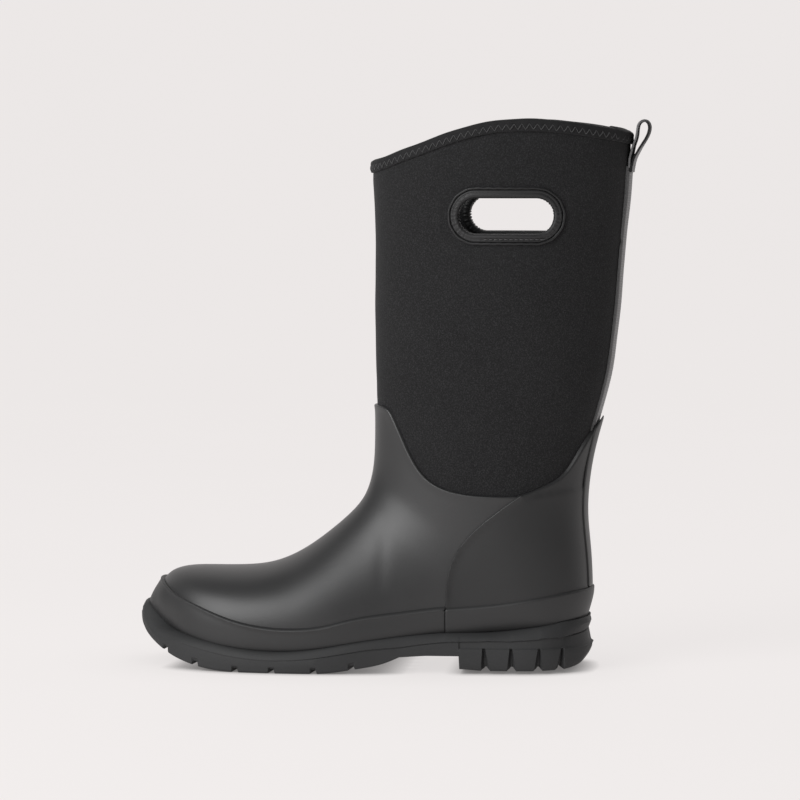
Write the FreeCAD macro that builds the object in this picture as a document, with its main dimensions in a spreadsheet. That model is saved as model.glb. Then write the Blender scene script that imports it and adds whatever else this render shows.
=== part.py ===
import FreeCAD, Part
import math
import os
from FreeCAD import Vector

# Tall insulated pull-on boot, left foot. Millimetres.
# +Z up, toe towards -X, heel towards +X, outer (lateral) side towards -Y.
# The origin is on the ground, under the middle of the boot.

os.makedirs("parts", exist_ok=True)
doc = FreeCAD.newDocument("insulated_boot")
V = Vector

# ---------------------------------------------------------------- dimensions
sheet = doc.addObject("Spreadsheet::Sheet", "dims")
DIMS = [
    ("neoprene_thickness", 5.0, "foam sheet of the bootie"),
    ("lining_thickness", 1.0, "knit lining inside the foam"),
    ("seam_tape_thickness", 0.6, "tape on the lining's back seam"),
    ("seam_tape_width", 14.0, ""),
    ("stiffener_thickness", 1.5, "toe puff and heel stiffener, let into the foam"),
    ("vamp_thickness", 1.9, "rubber of the foot shell"),
    ("quarter_offset", 2.8, "outside of the heel quarter above the foam"),
    ("stay_offset", 3.6, "outside of the back stay"),
    ("foxing_offset", 3.8, "outside of the front foxing band"),
    ("heel_foxing_offset", 4.6, "outside of the heel foxing band"),
    ("board_thickness", 1.8, "insole board under the bootie"),
    ("shank_inner", 2.2, "shank, measured from the bootie's outside"),
    ("shank_outer", 3.4, ""),
    ("shank_width", 16.0, ""),
    ("footbed_clearance", 7.0, "footbed edge, inside the bootie's outside"),
    ("binding_outside", 1.2, "folded collar binding stands this proud"),
    ("binding_inside", 7.2, "and reaches this far in"),
    ("tape_thickness", 1.4, "webbing up the back"),
    ("tape_width", 24.0, ""),
    ("tack_offset", 2.1, "outside of the bar tack"),
    ("tack_width", 20.0, ""),
    ("loop_width", 23.0, "pull loop, across"),
    ("slot_length", 61.6, "hand slot opening"),
    ("slot_height", 23.0, ""),
    ("slot_x", 78.2, ""),
    ("slot_z", 297.4, ""),
    ("wall_slot_length", 66.2, "slot cut in foam and lining"),
    ("wall_slot_height", 27.6, ""),
    ("trim_length", 72.4, "padded trim round the slot"),
    ("trim_height", 34.0, ""),
    ("trim_outside", 1.6, ""),
    ("trim_inside", 7.6, ""),
    ("piping_length", 76.4, "thin piping round the trim"),
    ("piping_height", 38.0, ""),
    ("piping_offset", 1.3, ""),
    ("outsole_height", 46.0, "height of the blank the outsole is cut from"),
    ("lug_groove_depth", 4.0, ""),
    ("heel_groove_depth", 7.0, "side grooves of the heel, into the wall"),
    ("heel_core_height", 10.0, ""),
    ("heel_core_z", 7.5, ""),
    ("thread_radius", 0.3, "collar stitching"),
    ("sweep_depth", 200.0, "side-view regions are swept this far across"),
]
for row, (alias, value, note) in enumerate(DIMS, start=1):
    sheet.set("A%d" % row, alias)
    sheet.set("B%d" % row, str(value))
    sheet.setAlias("B%d" % row, alias)
    if note:
        sheet.set("C%d" % row, note)
doc.recompute()


def dim(alias):
    return float(sheet.get(alias))


# --------------------------------------------------------- the foot-and-leg form
# The outside of the foam bootie. Each row is one section of the boot, fanned
# from the toe tip, round the instep, to the top of the leg:
# front/top point (x, z), sole/back point (x, z), half width, middle y,
# where the widest point lies between them, and the roundness of the section
# on its front side and on its sole side.
SECTIONS = [
    (-157.59, 40.61, -157.05, 33.61, 6.5, 9.4, 0.5, 2, 2),
    (-155.9, 47.05, -154.81, 30.07, 13.5, 9.2, 0.52, 2, 2.1),
    (-153.09, 52.39, -150.22, 27.52, 20.5, 8.8, 0.55, 2.05, 2.3),
    (-148.89, 56.96, -145.11, 24.07, 27.2, 8.1, 0.58, 2.1, 2.6),
    (-142.94, 59.72, -138.68, 20.67, 33.5, 7, 0.61, 2.15, 3),
    (-134.93, 61.18, -130.33, 17.28, 39, 5.6, 0.64, 2.2, 3.5),
    (-124.55, 61.76, -120.17, 14.8, 43.2, 4, 0.66, 2.2, 4),
    (-110.82, 61.98, -106.21, 12.74, 46.4, 2.4, 0.68, 2.2, 4.4),
    (-95.84, 62.64, -89.84, 11.62, 48.6, 1.2, 0.69, 2.15, 4.6),
    (-81.62, 64.71, -73.06, 11.44, 49.7, 0.4, 0.7, 2.1, 4.7),
    (-68.09, 69.37, -55.13, 11.83, 49.8, -0.4, 0.71, 2, 4.7),
    (-55.95, 75.92, -36.74, 13.36, 48.6, -1, 0.71, 1.95, 4.6),
    (-45.19, 83.41, -17.2, 15.4, 46.2, -1.4, 0.7, 1.92, 4.5),
    (-35.83, 90.85, 3.56, 18.35, 43.4, -1.5, 0.69, 1.92, 4.4),
    (-27.85, 97.9, 26.28, 21.32, 40.9, -1.2, 0.67, 1.95, 4.2),
    (-21.24, 104.9, 50.34, 23.71, 39.2, -0.7, 0.65, 2, 4),
    (-16.63, 111.88, 75.11, 25.22, 38.4, -0.2, 0.63, 2.03, 3.7),
    (-13.66, 119.18, 99.47, 25.7, 38.2, 0.1, 0.61, 2.06, 3.3),
    (-11.69, 127.15, 118.89, 26.87, 38.3, 0.3, 0.59, 2.08, 2.8),
    (-10.5, 136.45, 127.56, 39.84, 38.6, 0.4, 0.57, 2.1, 2.4),
    (-10.03, 146.4, 128.68, 58.42, 38.9, 0.4, 0.56, 2.1, 2.25),
    (-9.89, 157.01, 127.5, 78.26, 39.1, 0.4, 0.555, 2.1, 2.15),
    (-10.02, 168.27, 125.65, 98.08, 39.4, 0.4, 0.55, 2.1, 2.1),
    (-10.54, 180.18, 126.11, 117.91, 39.9, 0.4, 0.545, 2.1, 2.08),
    (-11.07, 193.41, 129.26, 139.71, 40.9, 0.4, 0.54, 2.1, 2.05),
    (-11.33, 207.95, 134.96, 162.82, 42.3, 0.4, 0.53, 2.1, 2.03),
    (-11.45, 224.47, 142.47, 190.5, 43.9, 0.4, 0.52, 2.1, 2),
    (-11.45, 242.94, 146.43, 216.79, 45.2, 0.4, 0.515, 2.1, 2),
    (-11.3, 263.38, 149.33, 244.99, 46.3, 0.4, 0.51, 2.1, 2),
    (-11.56, 285.1, 151.56, 274.45, 47.2, 0.4, 0.505, 2.1, 2),
    (-12.35, 306.8, 154.18, 303.85, 48, 0.4, 0.5, 2.1, 2),
    (-13.26, 327.82, 155.96, 331.89, 48.7, 0.4, 0.5, 2.1, 2),
    (-13.58, 352.75, 157.47, 359.23, 49.2, 0.4, 0.5, 2.1, 2),
    (-13.77, 375.03, 158.36, 378.74, 49.5, 0.4, 0.5, 2.1, 2),
]
LAST = float(len(SECTIONS) - 1)


def blend_rows(rows, at):
    """Uniform cubic spline through the table, with straight-line ends."""
    n = len(rows)
    i = min(max(int(math.floor(at)), 0), n - 2)
    t = at - i
    w = ((1 - t) ** 3 / 6, (3 * t**3 - 6 * t**2 + 4) / 6,
         (-3 * t**3 + 3 * t**2 + 3 * t + 1) / 6, t**3 / 6)

    def row(j):
        if j < 0:
            return [2 * a - b for a, b in zip(rows[0], rows[1])]
        if j > n - 1:
            return [2 * a - b for a, b in zip(rows[-1], rows[-2])]
        return rows[j]

    near = [row(i - 1), row(i), row(i + 1), row(i + 2)]
    return [sum(w[q] * near[q][k] for q in range(4)) for k in range(len(rows[0]))]


def control_rows(rows, rounds=5):
    ctrl = [list(r) for r in rows]
    for _ in range(rounds):
        miss = [[r[k] - p for k, p in enumerate(blend_rows(ctrl, float(i)))]
                for i, r in enumerate(rows)]
        for c, e in zip(ctrl, miss):
            for k in range(len(e)):
                c[k] += e[k]
    return ctrl


CONTROL = control_rows(SECTIONS)


def unit(x, z):
    size = math.hypot(x, z)
    return x / size, z / size


def section_row(at, offset):
    """The section row at a place along the fan, moved out by offset."""
    c = blend_rows(CONTROL, at)
    if offset == 0:
        return c
    a = blend_rows(CONTROL, max(at - 0.02, 0.0))
    b = blend_rows(CONTROL, min(at + 0.02, LAST))
    tx, tz = unit(b[0] - a[0], b[1] - a[1])
    ax, az = c[0] - tz * offset, c[1] + tx * offset
    tx, tz = unit(b[2] - a[2], b[3] - a[3])
    bx, bz = c[2] + tz * offset, c[3] - tx * offset

    def wide(r):
        return r[0] + r[6] * (r[2] - r[0]), r[1] + r[6] * (r[3] - r[1])

    along = math.hypot(wide(b)[0] - wide(a)[0], wide(b)[1] - wide(a)[1])
    half = c[4] + offset * along / math.hypot(along, b[4] - a[4])
    return [ax, az, bx, bz, half] + c[5:]


def section_points(row, front=8, back=6, fine=120):
    """Points round one section, evenly spaced on each of its four quarters."""
    ax, az, bx, bz, half, yc, um, nf, nb = row
    size = math.hypot(bx - ax, bz - az)
    dx, dz = (bx - ax) / size, (bz - az) / size
    deep_f, deep_b = um * size, (1 - um) * size

    def quarter(deep, n, count):
        p = []
        for k in range(fine + 1):
            a = 0.5 * math.pi * k / fine
            p.append((deep * max(math.cos(a), 0.0) ** (2 / n), half * math.sin(a) ** (2 / n)))
        d = [0.0]
        for i in range(1, len(p)):
            d.append(d[-1] + math.hypot(p[i][0] - p[i - 1][0], p[i][1] - p[i - 1][1]))
        out, j = [], 0
        for k in range(count + 1):
            want = d[-1] * k / count
            while j < len(d) - 2 and d[j + 1] < want:
                j += 1
            f = min(max((want - d[j]) / max(d[j + 1] - d[j], 1e-12), 0.0), 1.0)
            out.append((p[j][0] + (p[j + 1][0] - p[j][0]) * f,
                        p[j][1] + (p[j + 1][1] - p[j][1]) * f))
        return out

    qf, qb = quarter(deep_f, nf, front), quarter(deep_b, nb, back)
    side = [(deep_f - u, w) for u, w in qf] + [(deep_f + u, w) for u, w in reversed(qb[:-1])]
    ring = [(u, -w) for u, w in side] + [(u, w) for u, w in reversed(side[1:-1])]
    return [V(ax + dx * u, yc + w, az + dz * u) for u, w in ring]


def form_solid(offset):
    """One closed solid: a smooth surface through every section, and two flat ends."""
    net = []
    for i in range(len(SECTIONS)):
        p = section_points(section_row(float(i), offset))
        c = Part.BSplineCurve()
        c.interpolate(Points=p, PeriodicFlag=True,
                      Parameters=[k / len(p) for k in range(len(p) + 1)])
        net.append(c.getPoles())
        ring = (c.getKnots(), c.getMultiplicities(), c.Degree)
    columns = []
    for j in range(len(net[0])):
        c = Part.BSplineCurve()
        c.interpolate(Points=[row[j] for row in net],
                      Parameters=[float(i) for i in range(len(SECTIONS))])
        columns.append(c.getPoles())
        fan = (c.getKnots(), c.getMultiplicities(), c.Degree)
    poles = [[col[i] for col in columns] for i in range(len(columns[0]))]
    skin = Part.BSplineSurface()
    skin.buildFromPolesMultsKnots(poles, fan[1], ring[1], fan[0], ring[0],
                                  False, True, fan[2], ring[2])
    faces = [skin.toShape()]
    for end in (0.0, LAST):
        faces.append(Part.Face(Part.Wire([skin.uIso(end).toShape()])))
    shell = Part.Shell(faces)
    shell.sewShape()
    solid = Part.Solid(Part.Shell(shell.Faces))
    if solid.Volume < 0:
        solid.reverse()
    solid.fix(1e-4, 1e-4, 1e-4)
    return solid


forms = {}


def form(offset):
    """The document object of the form at one offset, made once."""
    key = "form_%s%02d" % ("out" if offset >= 0 else "in", round(abs(offset) * 10))
    if key not in forms:
        o = doc.addObject("Part::Feature", key)
        o.Shape = form_solid(offset)
        forms[key] = o
    return forms[key]


def width_at(x, z, offset):
    """Half width and middle of the form at a side-view point (x, z), or None."""
    def side(at):
        r = section_row(at, offset)
        return (r[2] - r[0]) * (z - r[1]) - (r[3] - r[1]) * (x - r[0]), r

    lo, hi = 0.0, LAST
    slo = side(lo)[0]
    if (slo > 0) == (side(hi)[0] > 0):
        return None
    for _ in range(40):
        mid = (lo + hi) / 2
        if (side(mid)[0] > 0) == (slo > 0):
            lo = mid
        else:
            hi = mid
    r = side(lo)[1]
    size = math.hypot(r[2] - r[0], r[3] - r[1])
    u = ((x - r[0]) * (r[2] - r[0]) + (z - r[1]) * (r[3] - r[1])) / size
    deep = r[6] * size
    if u < 0 or u > size:
        return None
    if u < deep:
        w = r[4] * (1 - ((deep - u) / deep) ** r[7]) ** (1 / r[7])
    else:
        w = r[4] * (1 - ((u - deep) / (size - deep)) ** r[8]) ** (1 / r[8])
    return w, r[5]


# -------------------------------------------------------------- small builders
def cut(name, base, tool):
    o = doc.addObject("Part::Cut", name)
    o.Base, o.Tool = base, tool
    return o


def common(name, *shapes):
    o = doc.addObject("Part::MultiCommon", name)
    o.Shapes = list(shapes)
    return o


def fuse(name, *shapes):
    o = doc.addObject("Part::MultiFuse", name)
    o.Shapes = list(shapes)
    return o


def layer(name, outer, inner):
    """The sheet between two offsets of the form."""
    return cut(name, form(outer), form(inner))


def spline_edge(points, y):
    c = Part.BSplineCurve()
    c.interpolate([V(x, y, z) for x, z in points])
    return c.toShape()


def region(name, *runs):
    """A closed side-view outline swept across the boot. A run is (smooth, points)."""
    y = -dim("sweep_depth") / 2
    edges, first, last = [], None, None
    for smooth, pts in runs:
        if last is not None and math.dist(last, pts[0]) > 1e-6:
            edges.append(Part.makeLine(V(last[0], y, last[1]), V(pts[0][0], y, pts[0][1])))
        if smooth and len(pts) > 2:
            edges.append(spline_edge(pts, y))
        else:
            for a, b in zip(pts, pts[1:]):
                edges.append(Part.makeLine(V(a[0], y, a[1]), V(b[0], y, b[1])))
        first = first or pts[0]
        last = pts[-1]
    if math.dist(last, first) > 1e-6:
        edges.append(Part.makeLine(V(last[0], y, last[1]), V(first[0], y, first[1])))
    outline = doc.addObject("Part::Feature", name + "_outline")
    outline.Shape = Part.Face(Part.Wire(edges))
    o = doc.addObject("Part::Extrusion", name)
    o.Base = outline
    o.DirMode = "Custom"
    o.Dir = V(0, 1, 0)
    o.setExpression("LengthFwd", "dims.sweep_depth")
    return o


def block(name, x0, x1, y0, y1, z0, z1):
    o = doc.addObject("Part::Box", name)
    o.Length, o.Width, o.Height = x1 - x0, y1 - y0, z1 - z0
    o.Placement.Base = V(x0, y0, z0)
    return o


def strip(name, width_alias, x0, x1, z0, z1):
    """A box centred on the boot's middle plane, as wide as a sheet cell says."""
    o = doc.addObject("Part::Box", name)
    o.Length, o.Height = x1 - x0, z1 - z0
    o.setExpression("Width", "dims." + width_alias)
    o.setExpression("Placement.Base.y", "-dims.%s / 2 + 0.4" % width_alias)
    o.Placement.Base = V(x0, 0, z0)
    return o


def stadium(name, length_alias, height_alias, y0, y1):
    """A long hole's shape, swept from y0 to y1: a box and two round ends."""
    body = doc.addObject("Part::Box", name + "_middle")
    body.Width = y1 - y0
    body.setExpression("Length", "dims.%s - dims.%s" % (length_alias, height_alias))
    body.setExpression("Height", "dims." + height_alias)
    body.setExpression("Placement.Base.x", "dims.slot_x - (dims.%s - dims.%s) / 2" % (length_alias, height_alias))
    body.setExpression("Placement.Base.z", "dims.slot_z - dims.%s / 2" % height_alias)
    body.Placement.Base = V(0, y0, 0)
    ends = []
    for tag, sign in (("front", "-"), ("back", "+")):
        c = doc.addObject("Part::Cylinder", "%s_%s" % (name, tag))
        c.Height = y1 - y0
        c.setExpression("Radius", "dims.%s / 2" % height_alias)
        c.Placement = FreeCAD.Placement(V(0, y0, 0), FreeCAD.Rotation(V(1, 0, 0), -90))
        c.setExpression("Placement.Base.x", "dims.slot_x %s (dims.%s - dims.%s) / 2" % (sign, length_alias, height_alias))
        c.setExpression("Placement.Base.z", "dims.slot_z")
        ends.append(c)
    return fuse(name, body, *ends)


def origin_plane(body, role):
    return [f for f in body.Origin.OriginFeatures if f.Role == role][0]


def sketch_on(body, name, role):
    s = body.newObject("Sketcher::SketchObject", name)
    s.AttachmentSupport = [(origin_plane(body, role), "")]
    s.MapMode = "FlatFace"
    return s


def closed_spline(sketch, pts):
    c = Part.BSplineCurve()
    c.interpolate(Points=[V(x, y, 0) for x, y in pts], PeriodicFlag=True)
    sketch.addGeometry(c, False)


def polygon(sketch, pts):
    for a, b in zip(pts, pts[1:] + pts[:1]):
        sketch.addGeometry(Part.LineSegment(V(a[0], a[1], 0), V(b[0], b[1], 0)), False)


def through_pocket(body, sketch, name):
    p = body.newObject("PartDesign::Pocket", name)
    p.Profile = sketch
    p.SideType = "Symmetric"
    p.Type = "ThroughAll"
    return p


nodes = {}


def keep(name, obj):
    obj.Label = name
    nodes[name] = obj
    return obj


# ----------------------------------------------------- side-view lines (x, z)
COLLAR = [(-24, 330.6), (-11.6, 333.2), (-3.0, 335.5), (8.4, 339.8), (19.4, 343.7),
          (30.2, 347.5), (40.8, 351.4), (51.3, 354.6), (61.7, 357.2), (72.0, 359.0),
          (82.3, 359.7), (102.6, 359.7), (112.7, 358.8), (122.8, 357.8), (132.8, 356.2),
          (142.7, 354.6), (152.5, 352.7), (157.2, 351.4), (170, 348.6)]
BINDING_DEPTH = 7.8
CUFF = 1.2
VAMP_TOP = [(-24, 173.6), (-10.2, 172.3), (-3.0, 171.1), (2.8, 163.7), (9.1, 150.9),
            (16.6, 136.8), (24.8, 126.7), (34.9, 120.5), (48.1, 116.9), (67.8, 115.3),
            (87.1, 115.3)]
QUARTER_TOP = [(87.0, 116.0), (96.7, 118.6), (106, 122.4), (112.4, 125.7), (116.8, 129.4),
               (124.8, 141.3), (138.7, 164.3), (146, 176.5)]
QUARTER_FRONT = [(38.8, 44.0), (39.0, 52), (40.5, 64.1), (46.9, 80.4), (58.1, 93.7),
                 (74.3, 106.9), (87.0, 116.0)]
VAMP_BACK = [(52, 44.0), (52.4, 54), (54.5, 66), (61, 80.5), (72, 91), (86, 101), (98, 109)]
FOXING_TOP = [(-168, 58.5), (-156, 56.2), (-148, 51.5), (-128.5, 43.1), (-100.3, 33.2),
              (-74.7, 28.7), (-54.9, 28.4), (-41.9, 29.8), (-22.5, 34.4), (7.7, 38.8),
              (37.4, 42.1), (38.8, 42.2)]
HEEL_FOXING_TOP = [(38.8, 41.4), (69.3, 43.7), (99.7, 48.3), (116.7, 51.5), (132.4, 53.7),
                   (142, 54.6)]
FEATHER = [(-175, 34), (-161.7, 33), (-156.7, 31.5), (-151.7, 28), (-146.7, 25.4), (-138.7, 22.2),
           (-129.7, 18.8), (-119.7, 16.3), (-105.7, 14.2), (-89.7, 13.1), (-72.7, 12.9),
           (-54.7, 13.3), (-36.7, 14.9), (-16.7, 16.9), (3.3, 19.8), (26.3, 22.8),
           (50.3, 25.2), (75.3, 26.7), (99.3, 27.2), (119.3, 28.4), (142, 30.5)]
OUTSOLE_TOP = [(-176, 46.5), (-166, 43.5), (-162, 38.5), (-156.5, 33), (-149.4, 27.3),
               (-138.1, 23.3), (-124, 20), (-100, 15.6), (-74.2, 13.7), (-47.9, 15.2),
               (-20.2, 19.7), (9.5, 23.6), (38.1, 26), (69.3, 26.6), (93.2, 29.3),
               (111.1, 32.4), (122.2, 35.6), (128.1, 37.5), (142, 41)]
OUTSOLE_BOTTOM = [(-170, 36), (-169.1, 32.5), (-168.3, 27.5), (-166.3, 22.8), (-162.3, 18.6),
                  (-157, 14.9), (-150, 11.2), (-141.7, 7.7), (-132.7, 4.7), (-121.7, 2.0),
                  (-111, 0.5), (-103, 0)]
FOREFOOT_BACK = [(-44, 0), (-32.3, 0.9), (-21.7, 2.5), (-11.3, 4.1), (-2, 6.2), (4, 8.3)]
FOOTBED_TOP = [(-158, 43), (-148, 36), (-138.7, 32), (-129.7, 28.8), (-119.7, 26.2),
               (-105.7, 24), (-89.7, 23), (-72.7, 22.8), (-54.7, 23.3), (-36.7, 25),
               (-16.7, 27.2), (3.3, 30), (26.3, 33), (50.3, 35.3), (75.3, 36.9),
               (99.3, 37.4), (119.3, 38.6), (140, 40.5)]


def lowered(pts, by):
    return [(x, z - by) for x, z in pts]


# ---------------------------------------------------------------- the bootie
T_FOAM = dim("neoprene_thickness")
T_WALL = T_FOAM + dim("lining_thickness")
wall_region = region("wall_region", (True, lowered(COLLAR, CUFF)),
                     (False, [(170, -5), (-190, -5), (-190, 329.4), (-24, 329.4)]))
wall_slot = stadium("wall_slot", "wall_slot_length", "wall_slot_height", -90, 90)

stiff = layer("stiffener_layer", 0.0, -dim("stiffener_thickness"))
puff_region = region("puff_region", (False, [(-175, 22), (-108, 15), (-114, 34), (-124, 70), (-175, 70)]))
keep("toe_puff", common("toe_puff_body", stiff, puff_region))
stiffener_region = region("stiffener_region", (False, [(66, 29), (140, 32), (140, 104), (118, 104), (84, 78), (70, 52)]))
keep("heel_stiffener", common("heel_stiffener_body", stiff, stiffener_region))

foam = layer("foam_layer", 0.0, -T_FOAM)
foam = common("foam_trimmed", foam, wall_region)
foam = cut("foam_slotted", foam, wall_slot)
foam = cut("foam_let_in", foam, fuse("stiffeners", nodes["toe_puff"], nodes["heel_stiffener"]))
keep("neoprene_bootie", foam)

knit = common("knit_trimmed", layer("knit_layer", -T_FOAM, -T_WALL), wall_region)
keep("lining", cut("knit_slotted", knit, wall_slot))
tape_box = strip("seam_tape_box", "seam_tape_width", 60, 175, 76, 338)
keep("inner_seam_tape", common("inner_seam_tape_body",
                               layer("seam_tape_layer", -T_WALL, -T_WALL - dim("seam_tape_thickness")), tape_box))

# collar binding: folded over the top edge of foam and lining
band_region = region("band_region", (True, COLLAR), (True, lowered(COLLAR, BINDING_DEPTH)[::-1]))
band = common("binding_band", layer("binding_layer", dim("binding_outside"), -dim("binding_inside")), band_region)
core = common("binding_core", layer("wall_layer", 0.0, -T_WALL), wall_region)
keep("collar_binding", cut("collar_binding_body", band, core))

# ------------------------------------------------------- hand slots, both sides
for side, y0, y1 in (("lateral", -90, -20), ("medial", 20, 90)):
    opening = stadium("opening_" + side, "slot_length", "slot_height", y0 - 2, y1 + 2)
    flange = stadium("flange_" + side, "trim_length", "trim_height", y0, y1)
    outline = stadium("piping_outline_" + side, "piping_length", "piping_height", y0, y1)
    held = stadium("held_" + side, "wall_slot_length", "wall_slot_height", y0 - 1, y1 + 1)
    ring = cut("trim_ring_" + side, flange, opening)
    thick = common("trim_blank_" + side,
                   cut("trim_layer_" + side, form(dim("trim_outside")), form(-dim("trim_inside"))), ring)
    wall = cut("wall_round_slot_" + side, doc.getObject("wall_layer"), held)
    keep("handle_trim_" + side, cut("handle_trim_%s_body" % side, thick, wall))
    pipe_ring = cut("pipe_ring_" + side, outline, flange)
    keep("handle_piping_" + side,
         common("handle_piping_%s_body" % side,
                cut("pipe_layer_" + side, form(dim("piping_offset")), form(0.0)), pipe_ring))

# --------------------------------------------------------- rubber foot shell
vamp_region = region("vamp_region", (True, FEATHER[:16]),
                     (False, [FEATHER[15], (52, 25.3), VAMP_BACK[0]]),
                     (True, VAMP_BACK), (False, [VAMP_BACK[-1], (97, 115.3), (87.1, 115.3)]),
                     (True, VAMP_TOP[::-1]), (False, [VAMP_TOP[0], (-190, 173.6), (-190, 34), FEATHER[0]]))
keep("vamp_shell", common("vamp_shell_body", layer("vamp_layer", dim("vamp_thickness"), 0.0), vamp_region))

quarter_region = region("quarter_region", (False, [QUARTER_FRONT[0], (38.8, 24.1)]),
                        (True, [(38.8, 24.1)] + FEATHER[16:]),
                        (False, [FEATHER[-1], (146, 60), QUARTER_TOP[-1]]),
                        (True, QUARTER_TOP[::-1]), (True, QUARTER_FRONT[::-1]))
quarter = common("quarter_blank", layer("quarter_layer", dim("quarter_offset"), 0.0), quarter_region)
under_quarter = common("under_quarter", form(dim("vamp_thickness")), vamp_region)
keep("heel_quarter", cut("heel_quarter_body", quarter, under_quarter))

heel_band_region = region("heel_band_region", (True, HEEL_FOXING_TOP),
                          (False, [(142, 30.5)]), (True, FEATHER[16:][::-1] + [(38.8, 24.1)]))
keep("foxing_heel", common("foxing_heel_body",
                           layer("heel_band_layer", dim("heel_foxing_offset"), dim("quarter_offset")), heel_band_region))
front_band_region = region("front_band_region", (True, FOXING_TOP), (False, [(38.8, 24.1)]),
                           (True, [(38.8, 24.1)] + FEATHER[:15][::-1]), (False, [FEATHER[0], (-190, 34), (-190, 58.5), FOXING_TOP[0]]))
keep("foxing_front", common("foxing_front_body",
                            layer("front_band_layer", dim("foxing_offset"), dim("vamp_thickness")), front_band_region))

stay_box = strip("stay_box", "tape_width", 60, 175, 40, 185)
stay = common("stay_blank", layer("stay_layer", dim("stay_offset"), dim("quarter_offset")), stay_box, quarter_region)
keep("back_stay", cut("back_stay_body", stay, heel_band_region))

# ------------------------------------------------- webbing up the back, bar tack
webbing_box = strip("webbing_box", "tape_width", 60, 175, 150, 326.4)
webbing = common("webbing_blank", layer("webbing_layer", dim("tape_thickness"), 0.0), webbing_box)
keep("back_tape", cut("back_tape_body", webbing, quarter_region))
tack_box = strip("tack_box", "tack_width", 60, 175, 320.5, 323.5)
keep("loop_bar_tack", common("loop_bar_tack_body", layer("tack_layer", dim("tack_offset"), dim("tape_thickness")), tack_box))

# pull loop: webbing folded into a teardrop, its foot round about the hinge line
PIVOT = (159.3, 328.4)
LOOP_OUT = [(157.6, 328.4), (157.9, 333), (158.3, 340), (158.8, 346.5), (159.6, 352.5),
            (160.9, 357.4), (163.4, 360.0), (166.4, 359.4), (168.3, 356.6), (168.7, 352.6),
            (167.7, 347.2), (165.3, 340.8), (162.7, 334.4), (161.0, 328.4), (159.3, 326.7)]
LOOP_IN = [(160.4, 338.5), (160.4, 342), (160.6, 346.5), (161.2, 351.6), (162.3, 355.6),
           (164.1, 357.9), (166.0, 357.2), (166.9, 355.2), (167.0, 352.4), (166.1, 347.8),
           (163.9, 342.0), (162.2, 338.4), (161.3, 337.2)]
loop = doc.addObject("PartDesign::Body", "pull_loop_body")
sk = sketch_on(loop, "loop_outline", "XZ_Plane")
closed_spline(sk, LOOP_OUT)
closed_spline(sk, LOOP_IN)
pad = loop.newObject("PartDesign::Pad", "loop_pad")
pad.Profile = sk
pad.SideType = "Symmetric"
pad.setExpression("Length", "dims.loop_width")
keep("pull_loop", loop)

# ----------------------------------------------- board, foam, shank and footbed
below_feather = region("below_feather", (True, FEATHER), (False, [(142, -10), (-175, -10)]))
keep("insole_board", common("insole_board_body", layer("board_layer", dim("board_thickness"), 0.0), below_feather))
shank_box = strip("shank_box", "shank_width", -34, 74, 0, 30)
keep("shank", common("shank_body", layer("shank_layer", dim("shank_outer"), dim("shank_inner")), shank_box))
midsole = common("midsole_blank", layer("midsole_layer", dim("foxing_offset"), dim("board_thickness")), below_feather)
keep("midsole_foam", cut("midsole_foam_body", midsole, nodes["shank"]))

bed_region = region("bed_region", (True, FOOTBED_TOP), (False, [(140, 0), (-158, 0)]))
keep("footbed", common("footbed_body", form(-dim("footbed_clearance")), bed_region))
cloth_region = region("cloth_region", (True, lowered(FOOTBED_TOP, -0.9)), (True, FOOTBED_TOP[::-1]))
keep("footbed_cloth", common("footbed_cloth_body", form(-dim("footbed_clearance")), cloth_region))

# --------------------------------------------------------------- heel core
core_body = doc.addObject("PartDesign::Body", "heel_core_body")
sk = sketch_on(core_body, "core_outline", "XY_Plane")
closed_spline(sk, [(60, 0.4), (63, -17), (80, -24), (98, -22), (110, -13), (113, 0.4),
                   (110, 14), (98, 23), (80, 25), (63, 18)])
pad = core_body.newObject("PartDesign::Pad", "core_pad")
pad.Profile = sk
pad.setExpression("Length", "dims.heel_core_height")
sk.AttachmentOffset = FreeCAD.Placement(V(0, 0, dim("heel_core_z")), FreeCAD.Rotation())
keep("heel_core", core_body)

# ----------------------------------------------------------------- outsole
OUTLINE = [(-168.9, 9.4), (-167.9, -3.2), (-163.2, -13.6), (-150.2, -29.6), (-139.1, -38.6),
           (-128.3, -44.5), (-117.7, -48.3), (-106.7, -51.4), (-96.7, -53.5), (-76.7, -56.0),
           (-56.7, -56.8), (-36.7, -55.9), (-16.7, -53.4), (3.3, -50.4), (23.3, -47.7),
           (43.3, -45.8), (63.3, -44.6), (83.3, -43.7), (98.3, -42.0), (108.3, -39.2),
           (116.3, -34.8), (123.3, -28.8), (128.8, -21.1), (132.1, -11.6), (133.0, 0.4),
           (132.1, 12.4), (128.8, 21.9), (123.3, 29.6), (116.3, 35.6), (108.3, 40.0),
           (98.3, 42.9), (83.3, 44.1), (63.3, 44.6), (43.3, 44.9), (23.3, 45.6),
           (3.3, 47.5), (-16.7, 50.5), (-36.7, 53.8), (-56.7, 55.9), (-76.7, 56.6),
           (-96.7, 56.1), (-106.7, 55.5), (-117.7, 54.7), (-128.3, 53.3), (-139.1, 50.4),
           (-150.2, 44.6), (-157.5, 38.4), (-163.2, 31.6), (-167.4, 20.5)]
blank = doc.addObject("PartDesign::Body", "outsole_blank")
sk = sketch_on(blank, "outsole_outline", "XY_Plane")
closed_spline(sk, OUTLINE)
pad = blank.newObject("PartDesign::Pad", "outsole_pad")
pad.Profile = sk
pad.setExpression("Length", "dims.outsole_height")

sk = sketch_on(blank, "above_top_line", "XZ_Plane")
c = Part.BSplineCurve()
c.interpolate([V(x, z, 0) for x, z in OUTSOLE_TOP])
sk.addGeometry(c, False)
for a, b in (((142, 41), (142, 60)), ((142, 60), (-176, 60)), ((-176, 60), (-176, 46.5))):
    sk.addGeometry(Part.LineSegment(V(a[0], a[1], 0), V(b[0], b[1], 0)), False)
through_pocket(blank, sk, "top_line_cut")

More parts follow.
